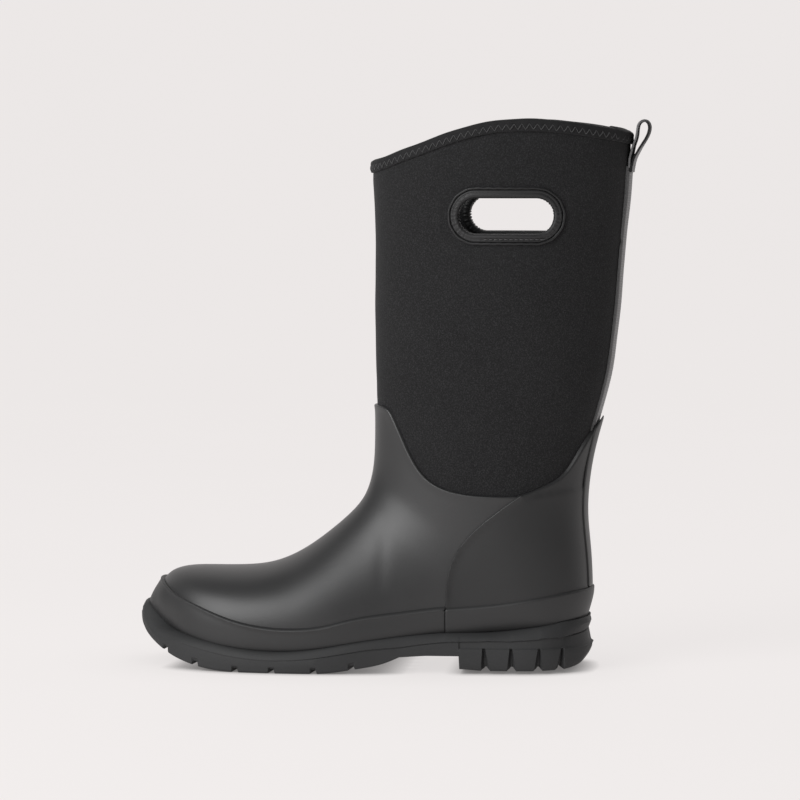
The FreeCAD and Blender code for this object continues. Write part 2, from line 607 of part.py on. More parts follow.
# under the toe, the arch and behind the heel
sk = sketch_on(blank, "under_toe", "XZ_Plane")
c = Part.BSplineCurve()
c.interpolate([V(x, z, 0) for x, z in OUTSOLE_BOTTOM])
sk.addGeometry(c, False)
for a, b in (((-103, 0), (-103, -5)), ((-103, -5), (-180, -5)), ((-180, -5), (-180, 36)), ((-180, 36), (-170, 36))):
    sk.addGeometry(Part.LineSegment(V(a[0], a[1], 0), V(b[0], b[1], 0)), False)
through_pocket(blank, sk, "toe_spring_cut")

sk = sketch_on(blank, "under_arch", "XZ_Plane")
c = Part.BSplineCurve()
c.interpolate([V(x, z, 0) for x, z in FOREFOOT_BACK])
sk.addGeometry(c, False)
for a, b in (((4, 8.3), (9.5, 10.7)), ((9.5, 10.7), (26, 11.6)), ((26, 11.6), (48, 11.4)),
             ((48, 11.4), (48, -5)), ((48, -5), (-44, -5)), ((-44, -5), (-44, 0))):
    sk.addGeometry(Part.LineSegment(V(a[0], a[1], 0), V(b[0], b[1], 0)), False)
through_pocket(blank, sk, "arch_cut")

sk = sketch_on(blank, "behind_heel", "XZ_Plane")
c = Part.BSplineCurve()
c.interpolate([V(x, z, 0) for x, z in [(115, 0), (121.5, 1.2), (126, 3.6), (129.3, 7.4), (131.8, 11.2), (133.4, 15.5)]])
sk.addGeometry(c, False)
for a, b in (((133.4, 15.5), (140, 15.5)), ((140, 15.5), (140, -5)), ((140, -5), (115, -5)), ((115, -5), (115, 0))):
    sk.addGeometry(Part.LineSegment(V(a[0], a[1], 0), V(b[0], b[1], 0)), False)
through_pocket(blank, sk, "heel_round_cut")

# transverse grooves between the lugs, square to the tread line
GROOVES = [(-147.7, 10.2, 0.50), (-125.7, 2.9, 0.25), (-98.2, 0.0, 0.0), (-73.7, 0.0, 0.0),
           (-46.0, 0.0, 0.0), (-21.3, 2.6, -0.16), (64.2, 0.0, 0.0), (81.9, 0.0, 0.0),
           (100.2, 0.0, 0.0)]
sk = sketch_on(blank, "groove_profiles", "XZ_Plane")
deep = dim("lug_groove_depth")
for x, z, slope in GROOVES:
    cs, sn = math.cos(-slope), math.sin(-slope)
    ring = []
    for u, w in ((-2.3, -4.0), (2.3, -4.0), (1.4, deep - 0.8), (-1.4, deep - 0.8)):
        ring.append((x + u * cs - w * sn, z + u * sn + w * cs))
    polygon(sk, ring)
through_pocket(blank, sk, "groove_cut")

# two channels along the forefoot tread
sk = sketch_on(blank, "channel_outlines", "XY_Plane")
for y in (-17.0, 19.0):
    polygon(sk, [(-132, y - 2.2), (-12, y - 2.2), (-12, y + 2.2), (-132, y + 2.2)])
channel = blank.newObject("PartDesign::Pocket", "channel_cut")
channel.Profile = sk
channel.Type = "Length"
channel.Reversed = True
channel.Length = 3.2

# flared grooves in the heel's side walls
flares = []
for k, x in enumerate((64.2, 81.9, 100.2, 115.0)):
    for side, y0, y1 in (("l", -70.0, None), ("m", None, 70.0)):
        wall = 44.4 if x < 90 else (42.0 if x < 110 else 35.6)
        inner = wall - dim("heel_groove_depth") + 3.0
        ylo, yhi = (-70.0, -inner) if side == "l" else (inner + 0.4, 70.0)
        lean = -1.2 + 0.9 * k
        prof = doc.addObject("Part::Feature", "flare_%d_%s_outline" % (k, side))
        pts = [(x - 3.2 - lean, -3), (x + 3.2 - lean, -3), (x + 1.1, 15.2), (x - 1.1, 15.2)]
        prof.Shape = Part.Face(Part.makePolygon([V(px, ylo, pz) for px, pz in pts + pts[:1]]))
        e = doc.addObject("Part::Extrusion", "flare_%d_%s" % (k, side))
        e.Base = prof
        e.DirMode = "Custom"
        e.Dir = V(0, 1, 0)
        e.LengthFwd = yhi - ylo
        flares.append(e)
flare_set = fuse("heel_flares", *flares)
grooved = cut("outsole_grooved", blank, flare_set)
seated = cut("outsole_seat", grooved, form(dim("foxing_offset")))
seated = cut("outsole_heel_seat", seated, nodes["foxing_heel"])
keep("outsole", cut("outsole_body", seated, nodes["heel_core"]))

# ------------------------------------------------------------------ stitching
doc.recompute()


def edge_z(x):
    pts = COLLAR
    for (x0, z0), (x1, z1) in zip(pts, pts[1:]):
        if x0 <= x <= x1:
            f = (x - x0) / (x1 - x0)
            f2 = f * f * (3 - 2 * f)
            return z0 + (z1 - z0) * (0.7 * f + 0.3 * f2)
    return pts[-1][1]


def rim_rail(drop, offset, count=360):
    """Points round the collar, drop below its edge, on the form at an offset."""
    table = []
    ring_rows = [section_points(section_row(a, offset), 16, 16) for a in
                 [29.5 + 0.25 * i for i in range(13)]]
    n = len(ring_rows[0])
    for j in range(n):
        line = [r[j] for r in ring_rows]
        best = None
        for a, b in zip(line, line[1:]):
            fa, fb = a.z - edge_z(a.x) + drop, b.z - edge_z(b.x) + drop
            if fa <= 0 < fb:
                f = fa / (fa - fb)
                best = a + (b - a) * f
        table.append(best)
    return table


def walk(points, step, start=0.0):
    """Even steps along a closed run of points."""
    pts = points + [points[0]]
    out, at = [], start
    total = 0.0
    lengths = [0.0]
    for a, b in zip(pts, pts[1:]):
        total += (b - a).Length
        lengths.append(total)
    count = int(total / step)
    step = total / count
    i = 0
    for k in range(count):
        want = k * step
        while lengths[i + 1] < want:
            i += 1
        f = (want - lengths[i]) / (lengths[i + 1] - lengths[i])
        out.append(pts[i] + (pts[i + 1] - pts[i]) * f)
    return out


r_thread = dim("thread_radius")
lift = dim("binding_outside") + r_thread + 0.12
top_rail = rim_rail(3.2, lift)
low_rail = rim_rail(6.9, lift)
both = walk([(a + b) * 0.5 for a, b in zip(top_rail, low_rail)], 2.5)
count = len(both) - len(both) % 2
legs = []


def rail_point(rail, target):
    best = min(range(len(rail)), key=lambda i: (rail[i] - target).Length)
    out = rail[best]
    n = len(rail)
    dist = 1e9
    for a, b in ((rail[best - 1], rail[best]), (rail[best], rail[(best + 1) % n])):
        ab = b - a
        f = min(max((target - a).dot(ab) / ab.dot(ab), 0), 1)
        p = a + ab * f
        if (p - target).Length < dist:
            dist, out = (p - target).Length, p
    return out


corners = [rail_point(top_rail if k % 2 == 0 else low_rail, both[k]) for k in range(count)]
for a, b in zip(corners, corners[1:] + corners[:1]):
    d = b - a
    if (abs((a.y + b.y) / 2 - 0.4) < 13 and (a.x + b.x) / 2 > 100):
        continue
    gap = 0.42
    start = a + d * (gap / d.Length)
    legs.append(Part.makeCylinder(r_thread, d.Length - 2 * gap, start, d))
stitch = doc.addObject("Part::Feature", "collar_stitching_body")
stitch.Shape = Part.Compound(legs)
stitch.Placement = FreeCAD.Placement()
keep("collar_stitching", stitch)

# a row of stitches in the groove below each slot
for side, sign in (("lateral", -1), ("medial", 1)):
    dashes = []
    zs = dim("slot_z") - dim("trim_height") / 2 + 1.9
    off = dim("trim_outside") + 0.1
    for k in range(12):
        x = dim("slot_x") - 14.0 + k * 3.3
        w0, yc = width_at(x, zs, off)
        w1, _ = width_at(x + 2.2, zs, off)
        a = V(x, yc + sign * (w0 + 0.3), zs)
        b = V(x + 2.2, yc + sign * (w1 + 0.3), zs)
        dashes.append(Part.makeCylinder(0.28, (b - a).Length, a, b - a))
    d = doc.addObject("Part::Feature", "handle_stitching_%s_body" % side)
    d.Shape = Part.Compound(dashes)
    d.Placement = FreeCAD.Placement()
    keep("handle_stitching_" + side, d)

# --------------------------------------------------------------- check and write
doc.recompute()
bad = [o.Name for o in doc.Objects if "Invalid" in o.State or "Error" in o.State]
if bad:
    raise RuntimeError("objects that failed: %s" % bad)
for name, o in nodes.items():
    if o.Shape.isNull() or not o.Shape.isValid() or o.Shape.Volume <= 0:
        raise RuntimeError("bad shape: %s" % name)
total = Part.Compound([o.Shape for o in nodes.values()]).BoundBox
for name in sorted(nodes):
    shape = nodes[name].Shape
    b = shape.BoundBox
    print("%-26s %3d solids %9.0f mm3  x %.1f..%.1f  y %.1f..%.1f  z %.1f..%.1f"
          % (name, len(shape.Solids), shape.Volume, b.XMin, b.XMax, b.YMin, b.YMax, b.ZMin, b.ZMax))
    shape.exportStep("parts/%s.step" % name)
print("whole boot", total)
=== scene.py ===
"""Looks of the tall insulated pull-on boot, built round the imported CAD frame."""

import math

import bpy
import numpy as np
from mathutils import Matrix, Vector
from mathutils.bvhtree import BVHTree


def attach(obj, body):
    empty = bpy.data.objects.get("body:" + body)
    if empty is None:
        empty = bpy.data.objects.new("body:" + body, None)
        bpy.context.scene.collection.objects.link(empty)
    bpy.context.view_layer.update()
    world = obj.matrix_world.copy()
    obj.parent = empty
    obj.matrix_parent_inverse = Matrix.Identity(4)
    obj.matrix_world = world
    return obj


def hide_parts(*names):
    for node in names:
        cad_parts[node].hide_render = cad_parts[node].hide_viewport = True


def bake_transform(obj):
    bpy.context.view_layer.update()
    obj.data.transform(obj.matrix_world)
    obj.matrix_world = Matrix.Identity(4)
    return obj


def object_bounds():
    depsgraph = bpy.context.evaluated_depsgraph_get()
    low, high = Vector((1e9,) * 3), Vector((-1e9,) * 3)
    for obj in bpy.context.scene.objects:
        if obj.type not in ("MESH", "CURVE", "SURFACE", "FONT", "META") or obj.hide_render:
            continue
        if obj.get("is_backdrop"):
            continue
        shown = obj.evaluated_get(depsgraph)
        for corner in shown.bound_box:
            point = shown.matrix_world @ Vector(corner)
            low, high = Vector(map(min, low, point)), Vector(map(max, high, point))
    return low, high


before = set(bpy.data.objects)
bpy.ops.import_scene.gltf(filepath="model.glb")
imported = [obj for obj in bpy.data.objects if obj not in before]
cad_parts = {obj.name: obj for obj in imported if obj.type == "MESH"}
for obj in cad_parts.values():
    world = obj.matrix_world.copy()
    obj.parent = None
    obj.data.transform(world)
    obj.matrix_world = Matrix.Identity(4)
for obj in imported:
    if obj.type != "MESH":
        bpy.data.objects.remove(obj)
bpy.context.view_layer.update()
MID = 0.4                       # the boot's middle plane, y in mm
RNG = np.random.default_rng(7)

# ------------------------------------------------------------------ the form
# The same fan of sections as the CAD form, in mm: ax az bx bz half yc um nf nb
SECTIONS = np.array([
    (-157.59, 40.61, -157.05, 33.61, 6.5, 9.4, 0.5, 2, 2),
    (-155.9, 47.05, -154.81, 30.07, 13.5, 9.2, 0.52, 2, 2.1),
    (-153.09, 52.39, -150.22, 27.52, 20.5, 8.8, 0.55, 2.05, 2.3),
    (-148.89, 56.96, -145.11, 24.07, 27.2, 8.1, 0.58, 2.1, 2.6),
    (-142.94, 59.72, -138.68, 20.67, 33.5, 7, 0.61, 2.15, 3),
    (-134.93, 61.18, -130.33, 17.28, 39, 5.6, 0.64, 2.2, 3.5),
    (-124.55, 61.76, -120.17, 14.8, 43.2, 4, 0.66, 2.2, 4),
    (-110.82, 61.98, -106.21, 12.74, 46.4, 2.4, 0.68, 2.2, 4.4),
    (-95.84, 62.64, -89.84, 11.62, 48.6, 1.2, 0.69, 2.15, 4.6),
    (-81.62, 64.71, -73.06, 11.44, 49.7, 0.4, 0.7, 2.1, 4.7),
    (-68.09, 69.37, -55.13, 11.83, 49.8, -0.4, 0.71, 2, 4.7),
    (-55.95, 75.92, -36.74, 13.36, 48.6, -1, 0.71, 1.95, 4.6),
    (-45.19, 83.41, -17.2, 15.4, 46.2, -1.4, 0.7, 1.92, 4.5),
    (-35.83, 90.85, 3.56, 18.35, 43.4, -1.5, 0.69, 1.92, 4.4),
    (-27.85, 97.9, 26.28, 21.32, 40.9, -1.2, 0.67, 1.95, 4.2),
    (-21.24, 104.9, 50.34, 23.71, 39.2, -0.7, 0.65, 2, 4),
    (-16.63, 111.88, 75.11, 25.22, 38.4, -0.2, 0.63, 2.03, 3.7),
    (-13.66, 119.18, 99.47, 25.7, 38.2, 0.1, 0.61, 2.06, 3.3),
    (-11.69, 127.15, 118.89, 26.87, 38.3, 0.3, 0.59, 2.08, 2.8),
    (-10.5, 136.45, 127.56, 39.84, 38.6, 0.4, 0.57, 2.1, 2.4),
    (-10.03, 146.4, 128.68, 58.42, 38.9, 0.4, 0.56, 2.1, 2.25),
    (-9.89, 157.01, 127.5, 78.26, 39.1, 0.4, 0.555, 2.1, 2.15),
    (-10.02, 168.27, 125.65, 98.08, 39.4, 0.4, 0.55, 2.1, 2.1),
    (-10.54, 180.18, 126.11, 117.91, 39.9, 0.4, 0.545, 2.1, 2.08),
    (-11.07, 193.41, 129.26, 139.71, 40.9, 0.4, 0.54, 2.1, 2.05),
    (-11.33, 207.95, 134.96, 162.82, 42.3, 0.4, 0.53, 2.1, 2.03),
    (-11.45, 224.47, 142.47, 190.5, 43.9, 0.4, 0.52, 2.1, 2),
    (-11.45, 242.94, 146.43, 216.79, 45.2, 0.4, 0.515, 2.1, 2),
    (-11.3, 263.38, 149.33, 244.99, 46.3, 0.4, 0.51, 2.1, 2),
    (-11.56, 285.1, 151.56, 274.45, 47.2, 0.4, 0.505, 2.1, 2),
    (-12.35, 306.8, 154.18, 303.85, 48, 0.4, 0.5, 2.1, 2),
    (-13.26, 327.82, 155.96, 331.89, 48.7, 0.4, 0.5, 2.1, 2),
    (-13.58, 352.75, 157.47, 359.23, 49.2, 0.4, 0.5, 2.1, 2),
    (-13.77, 375.03, 158.36, 378.74, 49.5, 0.4, 0.5, 2.1, 2),
])
LAST = len(SECTIONS) - 1


def blend_rows(rows, at):
    at = np.atleast_1d(np.asarray(at, float))
    ext = np.vstack([2 * rows[0] - rows[1], rows, 2 * rows[-1] - rows[-2]])
    i = np.clip(np.floor(at).astype(int), 0, LAST - 1)
    t = (at - i)[:, None]
    return ((1 - t) ** 3 / 6 * ext[i] + (3 * t**3 - 6 * t**2 + 4) / 6 * ext[i + 1]
            + (-3 * t**3 + 3 * t**2 + 3 * t + 1) / 6 * ext[i + 2] + t**3 / 6 * ext[i + 3])


CONTROL = SECTIONS.copy()
for _ in range(5):
    CONTROL = CONTROL + SECTIONS - blend_rows(CONTROL, np.arange(LAST + 1))


def rows_at(at, offset):
    at = np.atleast_1d(np.asarray(at, float))
    c = blend_rows(CONTROL, at)
    off = np.broadcast_to(np.asarray(offset, float), at.shape)[:, None]
    a, b = blend_rows(CONTROL, np.maximum(at - 0.02, 0)), blend_rows(CONTROL, np.minimum(at + 0.02, LAST))
    out = c.copy()
    t = b[:, 0:2] - a[:, 0:2]
    t /= np.linalg.norm(t, axis=1)[:, None]
    out[:, 0:2] += off * np.stack([-t[:, 1], t[:, 0]], 1)
    t = b[:, 2:4] - a[:, 2:4]
    t /= np.linalg.norm(t, axis=1)[:, None]
    out[:, 2:4] += off * np.stack([t[:, 1], -t[:, 0]], 1)
    wa = a[:, 0:2] + a[:, 6:7] * (a[:, 2:4] - a[:, 0:2])
    wb = b[:, 0:2] + b[:, 6:7] * (b[:, 2:4] - b[:, 0:2])
    along = np.linalg.norm(wb - wa, axis=1)
    out[:, 4] += off[:, 0] * along / np.hypot(along, b[:, 4] - a[:, 4])
    return out


def ring_points(row, front, back, fine=160):
    ax, az, bx, bz, half, yc, um, nf, nb = row
    size = math.hypot(bx - ax, bz - az)
    dx, dz = (bx - ax) / size, (bz - az) / size
    a = 0.5 * math.pi * np.linspace(0, 1, fine + 1)
    side = []
    for deep, n, count in ((um * size, nf, front), ((1 - um) * size, nb, back)):
        u = deep * np.maximum(np.cos(a), 0) ** (2 / n)
        w = half * np.sin(a) ** (2 / n)
        d = np.concatenate([[0], np.cumsum(np.hypot(np.diff(u), np.diff(w)))])
        want = np.linspace(0, d[-1], count + 1)
        side.append((np.interp(want, d, u), np.interp(want, d, w)))
    (uf, wf), (ub, wb) = side
    deep = um * size
    u = np.concatenate([deep - uf, (deep + ub)[::-1][1:]])
    w = np.concatenate([wf, wb[::-1][1:]])
    u = np.concatenate([u, u[1:-1][::-1]])
    w = np.concatenate([-w, w[1:-1][::-1]])
    return np.stack([ax + dx * u, yc + w, az + dz * u], 1)


def grid(at, offset, front=44, back=36):
    """Form points, rows by ring."""
    return np.array([ring_points(r, front, back) for r in rows_at(at, offset)])


def fine_rows(a, b, per):
    return np.linspace(a, b, int(round((b - a) * per)) + 1)


def side_y(x, z, offset):
    """Half width of the form over side-view points; nan where there is none."""
    x, z = np.asarray(x, float).ravel(), np.asarray(z, float).ravel()
    off = np.broadcast_to(np.asarray(offset, float), x.shape)

    def side(at):
        r = rows_at(at, off)
        return (r[:, 2] - r[:, 0]) * (z - r[:, 1]) - (r[:, 3] - r[:, 1]) * (x - r[:, 0]), r

    lo, hi = np.zeros_like(x), np.full_like(x, LAST)
    s_lo = side(lo)[0] > 0
    for _ in range(26):
        mid = (lo + hi) / 2
        same = (side(mid)[0] > 0) == s_lo
        lo, hi = np.where(same, mid, lo), np.where(same, hi, mid)
    r = side(lo)[1]
    size = np.hypot(r[:, 2] - r[:, 0], r[:, 3] - r[:, 1])
    u = ((x - r[:, 0]) * (r[:, 2] - r[:, 0]) + (z - r[:, 1]) * (r[:, 3] - r[:, 1])) / size
    deep = r[:, 6] * size
    with np.errstate(invalid="ignore"):
        front = r[:, 4] * (1 - ((deep - u) / deep) ** r[:, 7]) ** (1 / r[:, 7])
        back = r[:, 4] * (1 - ((u - deep) / (size - deep)) ** r[:, 8]) ** (1 / r[:, 8])
    w = np.where(u < deep, front, back)
    w[(u < 0) | (u > size)] = np.nan
    return w, r[:, 5]


# ------------------------------------------------------------- curve helpers
def natural(t, y):
    """Second derivatives of the natural cubic through the points."""
    n = len(t)
    h = np.diff(t)
    m = np.eye(n)
    rhs = np.zeros((n,) + y.shape[1:])
    for i in range(1, n - 1):
        m[i, i - 1:i + 2] = h[i - 1], 2 * (h[i - 1] + h[i]), h[i]
        rhs[i] = 6 * ((y[i + 1] - y[i]) / h[i] - (y[i] - y[i - 1]) / h[i - 1])
    return np.linalg.solve(m, rhs)


def cubic(t, y, at):
    t, y, at = np.asarray(t, float), np.asarray(y, float), np.asarray(at, float)
    dd = natural(t, y)
    i = np.clip(np.searchsorted(t, at) - 1, 0, len(t) - 2)
    h = t[i + 1] - t[i]
    a, b = (t[i + 1] - at) / h, (at - t[i]) / h
    if y.ndim > 1:
        a, b, h = a[:, None], b[:, None], h[:, None]
    return a * y[i] + b * y[i + 1] + ((a**3 - a) * dd[i] + (b**3 - b) * dd[i + 1]) * h * h / 6


def smooth(points, n=160):
    """A smooth line through side-view points."""
    p = np.asarray(points, float)
    t = np.concatenate([[0], np.cumsum(np.linalg.norm(np.diff(p, axis=0), axis=1))])
    return cubic(t, p, np.linspace(0, t[-1], n))


def smooth_loop(points, n=400):
    p = np.asarray(points, float)
    q = np.vstack([p[-4:], p, p[:5]])
    t = np.concatenate([[0], np.cumsum(np.linalg.norm(np.diff(q, axis=0), axis=1))])
    at = np.linspace(t[4], t[4 + len(p)], n, endpoint=False)
    return cubic(t, q, at)


def fn(points):
    p = np.asarray(points, float)
    return lambda x: cubic(p[:, 0], p[:, 1], np.clip(np.asarray(x, float), p[0, 0], p[-1, 0]))


def line_fn(points):
    p = np.asarray(points, float)
    return lambda x: np.interp(x, p[:, 0], p[:, 1])


def inside(points, poly):
    """Signed distance to a closed outline, positive inside."""
    out = np.empty(len(points))
    a = np.asarray(poly, float)
    b = np.roll(a, -1, 0)
    d = b - a
    dd = np.maximum((d * d).sum(1), 1e-12)
    for k in range(0, len(points), 6000):
        p = points[k:k + 6000]
        px, pz = p[:, :1] - a[:, 0], p[:, 1:2] - a[:, 1]
        t = np.clip((px * d[:, 0] + pz * d[:, 1]) / dd, 0, 1)
        far = np.sqrt(((px - t * d[:, 0]) ** 2 + (pz - t * d[:, 1]) ** 2).min(1))
        up = (a[:, 1] <= p[:, 1:2]) != (b[:, 1] <= p[:, 1:2])
        with np.errstate(divide="ignore", invalid="ignore"):
            cross = a[:, 0] + (p[:, 1:2] - a[:, 1]) / np.where(d[:, 1] == 0, 1e-12, d[:, 1]) * d[:, 0]
        hit = (up & (p[:, :1] < cross)).sum(1) % 2 == 1
        out[k:k + 6000] = np.where(hit, far, -far)
    return out


def to_line(points, line):
    """Distance to an open line."""
    a, b = line[:-1], line[1:]
    d = b - a
    dd = np.maximum((d * d).sum(1), 1e-12)
    out = np.empty(len(points))
    for k in range(0, len(points), 6000):
        p = points[k:k + 6000]
        px, pz = p[:, :1] - a[:, 0], p[:, 1:2] - a[:, 1]
        t = np.clip((px * d[:, 0] + pz * d[:, 1]) / dd, 0, 1)
        out[k:k + 6000] = np.sqrt(((px - t * d[:, 0]) ** 2 + (pz - t * d[:, 1]) ** 2).min(1))
    return out


def stadium(x, z, length, height, cx=78.2, cz=297.4):
    """Signed distance to a long round-ended hole, positive outside it."""
    half = (length - height) / 2
    return np.hypot(np.maximum(np.abs(x - cx) - half, 0), z - cz) - height / 2


def ease(a, b, x):
    t = np.clip((np.asarray(x, float) - a) / (b - a), 0, 1)
    return t * t * (3 - 2 * t)


WAVES = [(RNG.normal(size=3), RNG.uniform(0, 6.28)) for _ in range(14)]


def ripple(p, size):
    """A smooth random field about -1..1 whose bumps are about this many mm."""
    total = 0
    for k, ph in WAVES:
        total = total + np.sin(p @ (k / size * 2.2) + ph)
    return total / 5.2


# ------------------------------------------------------------- mesh building
def split(v, t, g):
    """Cuts triangles along g = 0; v's columns are carried by straight-line mixing."""
    g = np.where(np.abs(g) < 2e-3, 0.0, g)
    s = np.sign(g[t])
    cross = (s.max(1) > 0) & (s.min(1) < 0)
    if not cross.any():
        return v, t
    keep, c, s = t[~cross], t[cross], s[cross]
    zero = (s == 0).any(1)
    lead = np.where(zero, np.argmax(s == 0, 1), np.argmax(s == -np.sign(s.sum(1))[:, None], 1))
    r = np.arange(len(c))
    c = np.stack([c[r, lead], c[r, (lead + 1) % 3], c[r, (lead + 2) % 3]], 1)
    cz, cn = c[zero], c[~zero]
    ends = np.concatenate([cz[:, [1, 2]], cn[:, [0, 1]], cn[:, [0, 2]]])
    ends = np.sort(ends, 1)
    uniq, inv = np.unique(ends, axis=0, return_inverse=True)
    inv = inv.ravel()
    f = (g[uniq[:, 0]] / (g[uniq[:, 0]] - g[uniq[:, 1]]))[:, None]
    new = v[uniq[:, 0]] * (1 - f) + v[uniq[:, 1]] * f
    idx = inv + len(v)
    m, a, b = idx[:len(cz)], idx[len(cz):len(cz) + len(cn)], idx[len(cz) + len(cn):]
    out = [keep, np.stack([cz[:, 0], cz[:, 1], m], 1), np.stack([cz[:, 0], m, cz[:, 2]], 1),
           np.stack([cn[:, 0], a, b], 1), np.stack([a, cn[:, 1], cn[:, 2]], 1), np.stack([a, cn[:, 2], b], 1)]
    return np.vstack([v, new]), np.vstack(out)


def compact(v, t):
    used, t = np.unique(t, return_inverse=True)
    return v[used], t.reshape(-1, 3)


def carrier(at, low, high, front=44, back=36, cap=False):
    """Vertices with two form positions, low and high, and the triangles between them."""
    a, b = grid(at, low, front, back), grid(at, high, front, back)
    n, m = a.shape[:2]
    v = np.concatenate([a, b], 2).reshape(-1, 6)
    i, j = np.meshgrid(np.arange(n - 1), np.arange(m), indexing="ij")
    i, j = i.ravel(), j.ravel()
    k = (j + 1) % m
    p, q, r, s = i * m + j, i * m + k, (i + 1) * m + k, (i + 1) * m + j
    even = (i + j) % 2 == 0
    t = np.vstack([np.stack([p, q, r], 1)[even], np.stack([p, r, s], 1)[even],
                   np.stack([p, q, s], 1)[~even], np.stack([q, r, s], 1)[~even]])
    if cap:
        v = np.vstack([v, v[:m].mean(0)])
        c = len(v) - 1
        j = np.arange(m)
        t = np.vstack([t, np.stack([np.full(m, c), (j + 1) % m, j], 1)])
    return v, t


def shell(outer, inner, t):
    """A closed skin: outside, inside, and walls round its rim."""
    n = len(outer)
    e = np.vstack([t[:, [0, 1]], t[:, [1, 2]], t[:, [2, 0]]])
    key, back = e[:, 0] * n + e[:, 1], e[:, 1] * n + e[:, 0]
    rim = e[~np.isin(back, key)]
    walls = np.vstack([np.stack([rim[:, 1], rim[:, 0], rim[:, 0] + n], 1),
                       np.stack([rim[:, 1], rim[:, 0] + n, rim[:, 1] + n], 1)])
    return np.vstack([outer, inner]), np.vstack([t, t[:, ::-1] + n, walls])


def rounded(depth, radius, top):
    """Height of a rounded edge, depth in from it."""
    d = np.clip(depth, 0, radius)
    return top - radius + np.sqrt(np.maximum(radius**2 - (radius - d) ** 2, 0))


def weld(v, faces, within=2e-3):
    key = np.round(v / within).astype(np.int64)
    _, first, inv = np.unique(key, axis=0, return_index=True, return_inverse=True)
    inv = inv.ravel()
    out = []
    for f in faces:
        g = [int(inv[k]) for k in f]
        h = [g[k] for k in range(len(g)) if g[k] != g[k - 1]]
        if len(set(h)) == len(h) and len(h) > 2:
            out.append(h)
    return v[first], out


def piece(name, v, faces, material, body="boot", smooth_angle=38, uv=None):
    """A mesh object from mm points."""
    mesh = bpy.data.meshes.new(name)
    v = np.asarray(v, float) * 0.001
    if isinstance(faces, np.ndarray):
        mesh.vertices.add(len(v))
        mesh.vertices.foreach_set("co", v.astype(np.float32).ravel())
        k = faces.shape[1]
        mesh.loops.add(faces.size)
        mesh.loops.foreach_set("vertex_index", faces.astype(np.int32).ravel())
        mesh.polygons.add(len(faces))
        mesh.polygons.foreach_set("loop_start", np.arange(0, faces.size, k, dtype=np.int32))
        mesh.polygons.foreach_set("loop_total", np.full(len(faces), k, np.int32))
        mesh.update(calc_edges=True)
    else:
        mesh.from_pydata([tuple(p) for p in v], [], [tuple(f) for f in faces])
        mesh.update()
    mesh.validate()
    if uv is not None:
        layer = mesh.uv_layers.new(name="UVMap")
        at = np.zeros(len(mesh.loops), np.int32)
        mesh.loops.foreach_get("vertex_index", at)
        layer.data.foreach_set("uv", np.asarray(uv, np.float32)[at].ravel())
    mesh.polygons.foreach_set("use_smooth", np.ones(len(mesh.polygons), bool))
    if smooth_angle < 180:
        mesh.set_sharp_from_angle(angle=math.radians(smooth_angle))
    o = bpy.data.objects.new(name, mesh)
    bpy.context.scene.collection.objects.link(o)
    mesh.materials.append(material)
    if body:
        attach(o, body)
    return o


def flat_area(o):
    """Half the closed mesh's surface, m2."""
    m = o.data
    a = np.zeros(len(m.polygons), np.float32)
    m.polygons.foreach_get("area", a)
    return float(a.sum()) / 2


def layer(name, at, low, high, field, material, top=None, bottom=None, radius=0.8, cap=False,
          front=44, back=36, body="boot", shape=None, under=None, angle=38):
    """A sheet of the form between two heights, cut to a region and rounded at its edges."""
    v, t = carrier(at, low, high, front, back, cap)
    f = field(v)
    v = np.column_stack([v, f])
    near = np.ones(len(t), bool)
    v, t = split(v, t, v[:, 6])
    t = t[v[t, 6].min(1) > -1e-6]
    if radius > 0:
        for share in (0.07, 0.28, 0.6, 1.0):
            v, t = split(v, t, v[:, 6] - share * radius)
    v, t = compact(v, t)
    top = high if top is None else top
    bottom = low if bottom is None else bottom
    h = np.full(len(v), float(top)) if radius <= 0 else rounded(v[:, 6], radius, top)
    if shape is not None:
        h = h + shape(v)
    hb = np.full(len(v), float(bottom)) if under is None else under(v)
    span = high - low
    outer = v[:, :3] + (v[:, 3:6] - v[:, :3]) * ((h - low) / span)[:, None]
    inner = v[:, :3] + (v[:, 3:6] - v[:, :3]) * ((hb - low) / span)[:, None]
    p, q = shell(outer, inner, t)
    return piece(name, p, q, material, body, angle)


def tube(path, radius, sides=8, closed=False, squash=1.0, up=None):
    """Points and quads of a round strand along a path; radius may vary."""
    path = np.asarray(path, float)
    n = len(path)
    if closed:
        tan = np.roll(path, -1, 0) - np.roll(path, 1, 0)
    else:
        tan = np.gradient(path, axis=0)
    tan /= np.linalg.norm(tan, axis=1)[:, None]
    if up is None:
        up = np.tile([0.0, 1.0, 0.0], (n, 1))
    b = np.cross(tan, up)
    b /= np.maximum(np.linalg.norm(b, axis=1), 1e-9)[:, None]
    c = np.cross(b, tan)
    r = np.broadcast_to(np.asarray(radius, float), (n,))
    a = np.linspace(0, 2 * math.pi, sides, endpoint=False)
    v = path[:, None] + r[:, None, None] * (np.cos(a)[None, :, None] * b[:, None] + squash * np.sin(a)[None, :, None] * c[:, None])
    v = v.reshape(-1, 3)
    q = []
    last = n if closed else n - 1
    for i in range(last):
        for j in range(sides):
            k = (j + 1) % sides
            i2 = (i + 1) % n
            q.append((i * sides + j, i2 * sides + j, i2 * sides + k, i * sides + k))
    if not closed:
        q.append(tuple(range(sides)))
        q.append(tuple((n - 1) * sides + j for j in reversed(range(sides))))
    return v, q


def joined(parts):
    vs, fs, n = [], [], 0
    for v, f in parts:
        vs.append(v)
        fs += [tuple(k + n for k in g) for g in f]
        n += len(v)
    return np.vstack(vs), fs


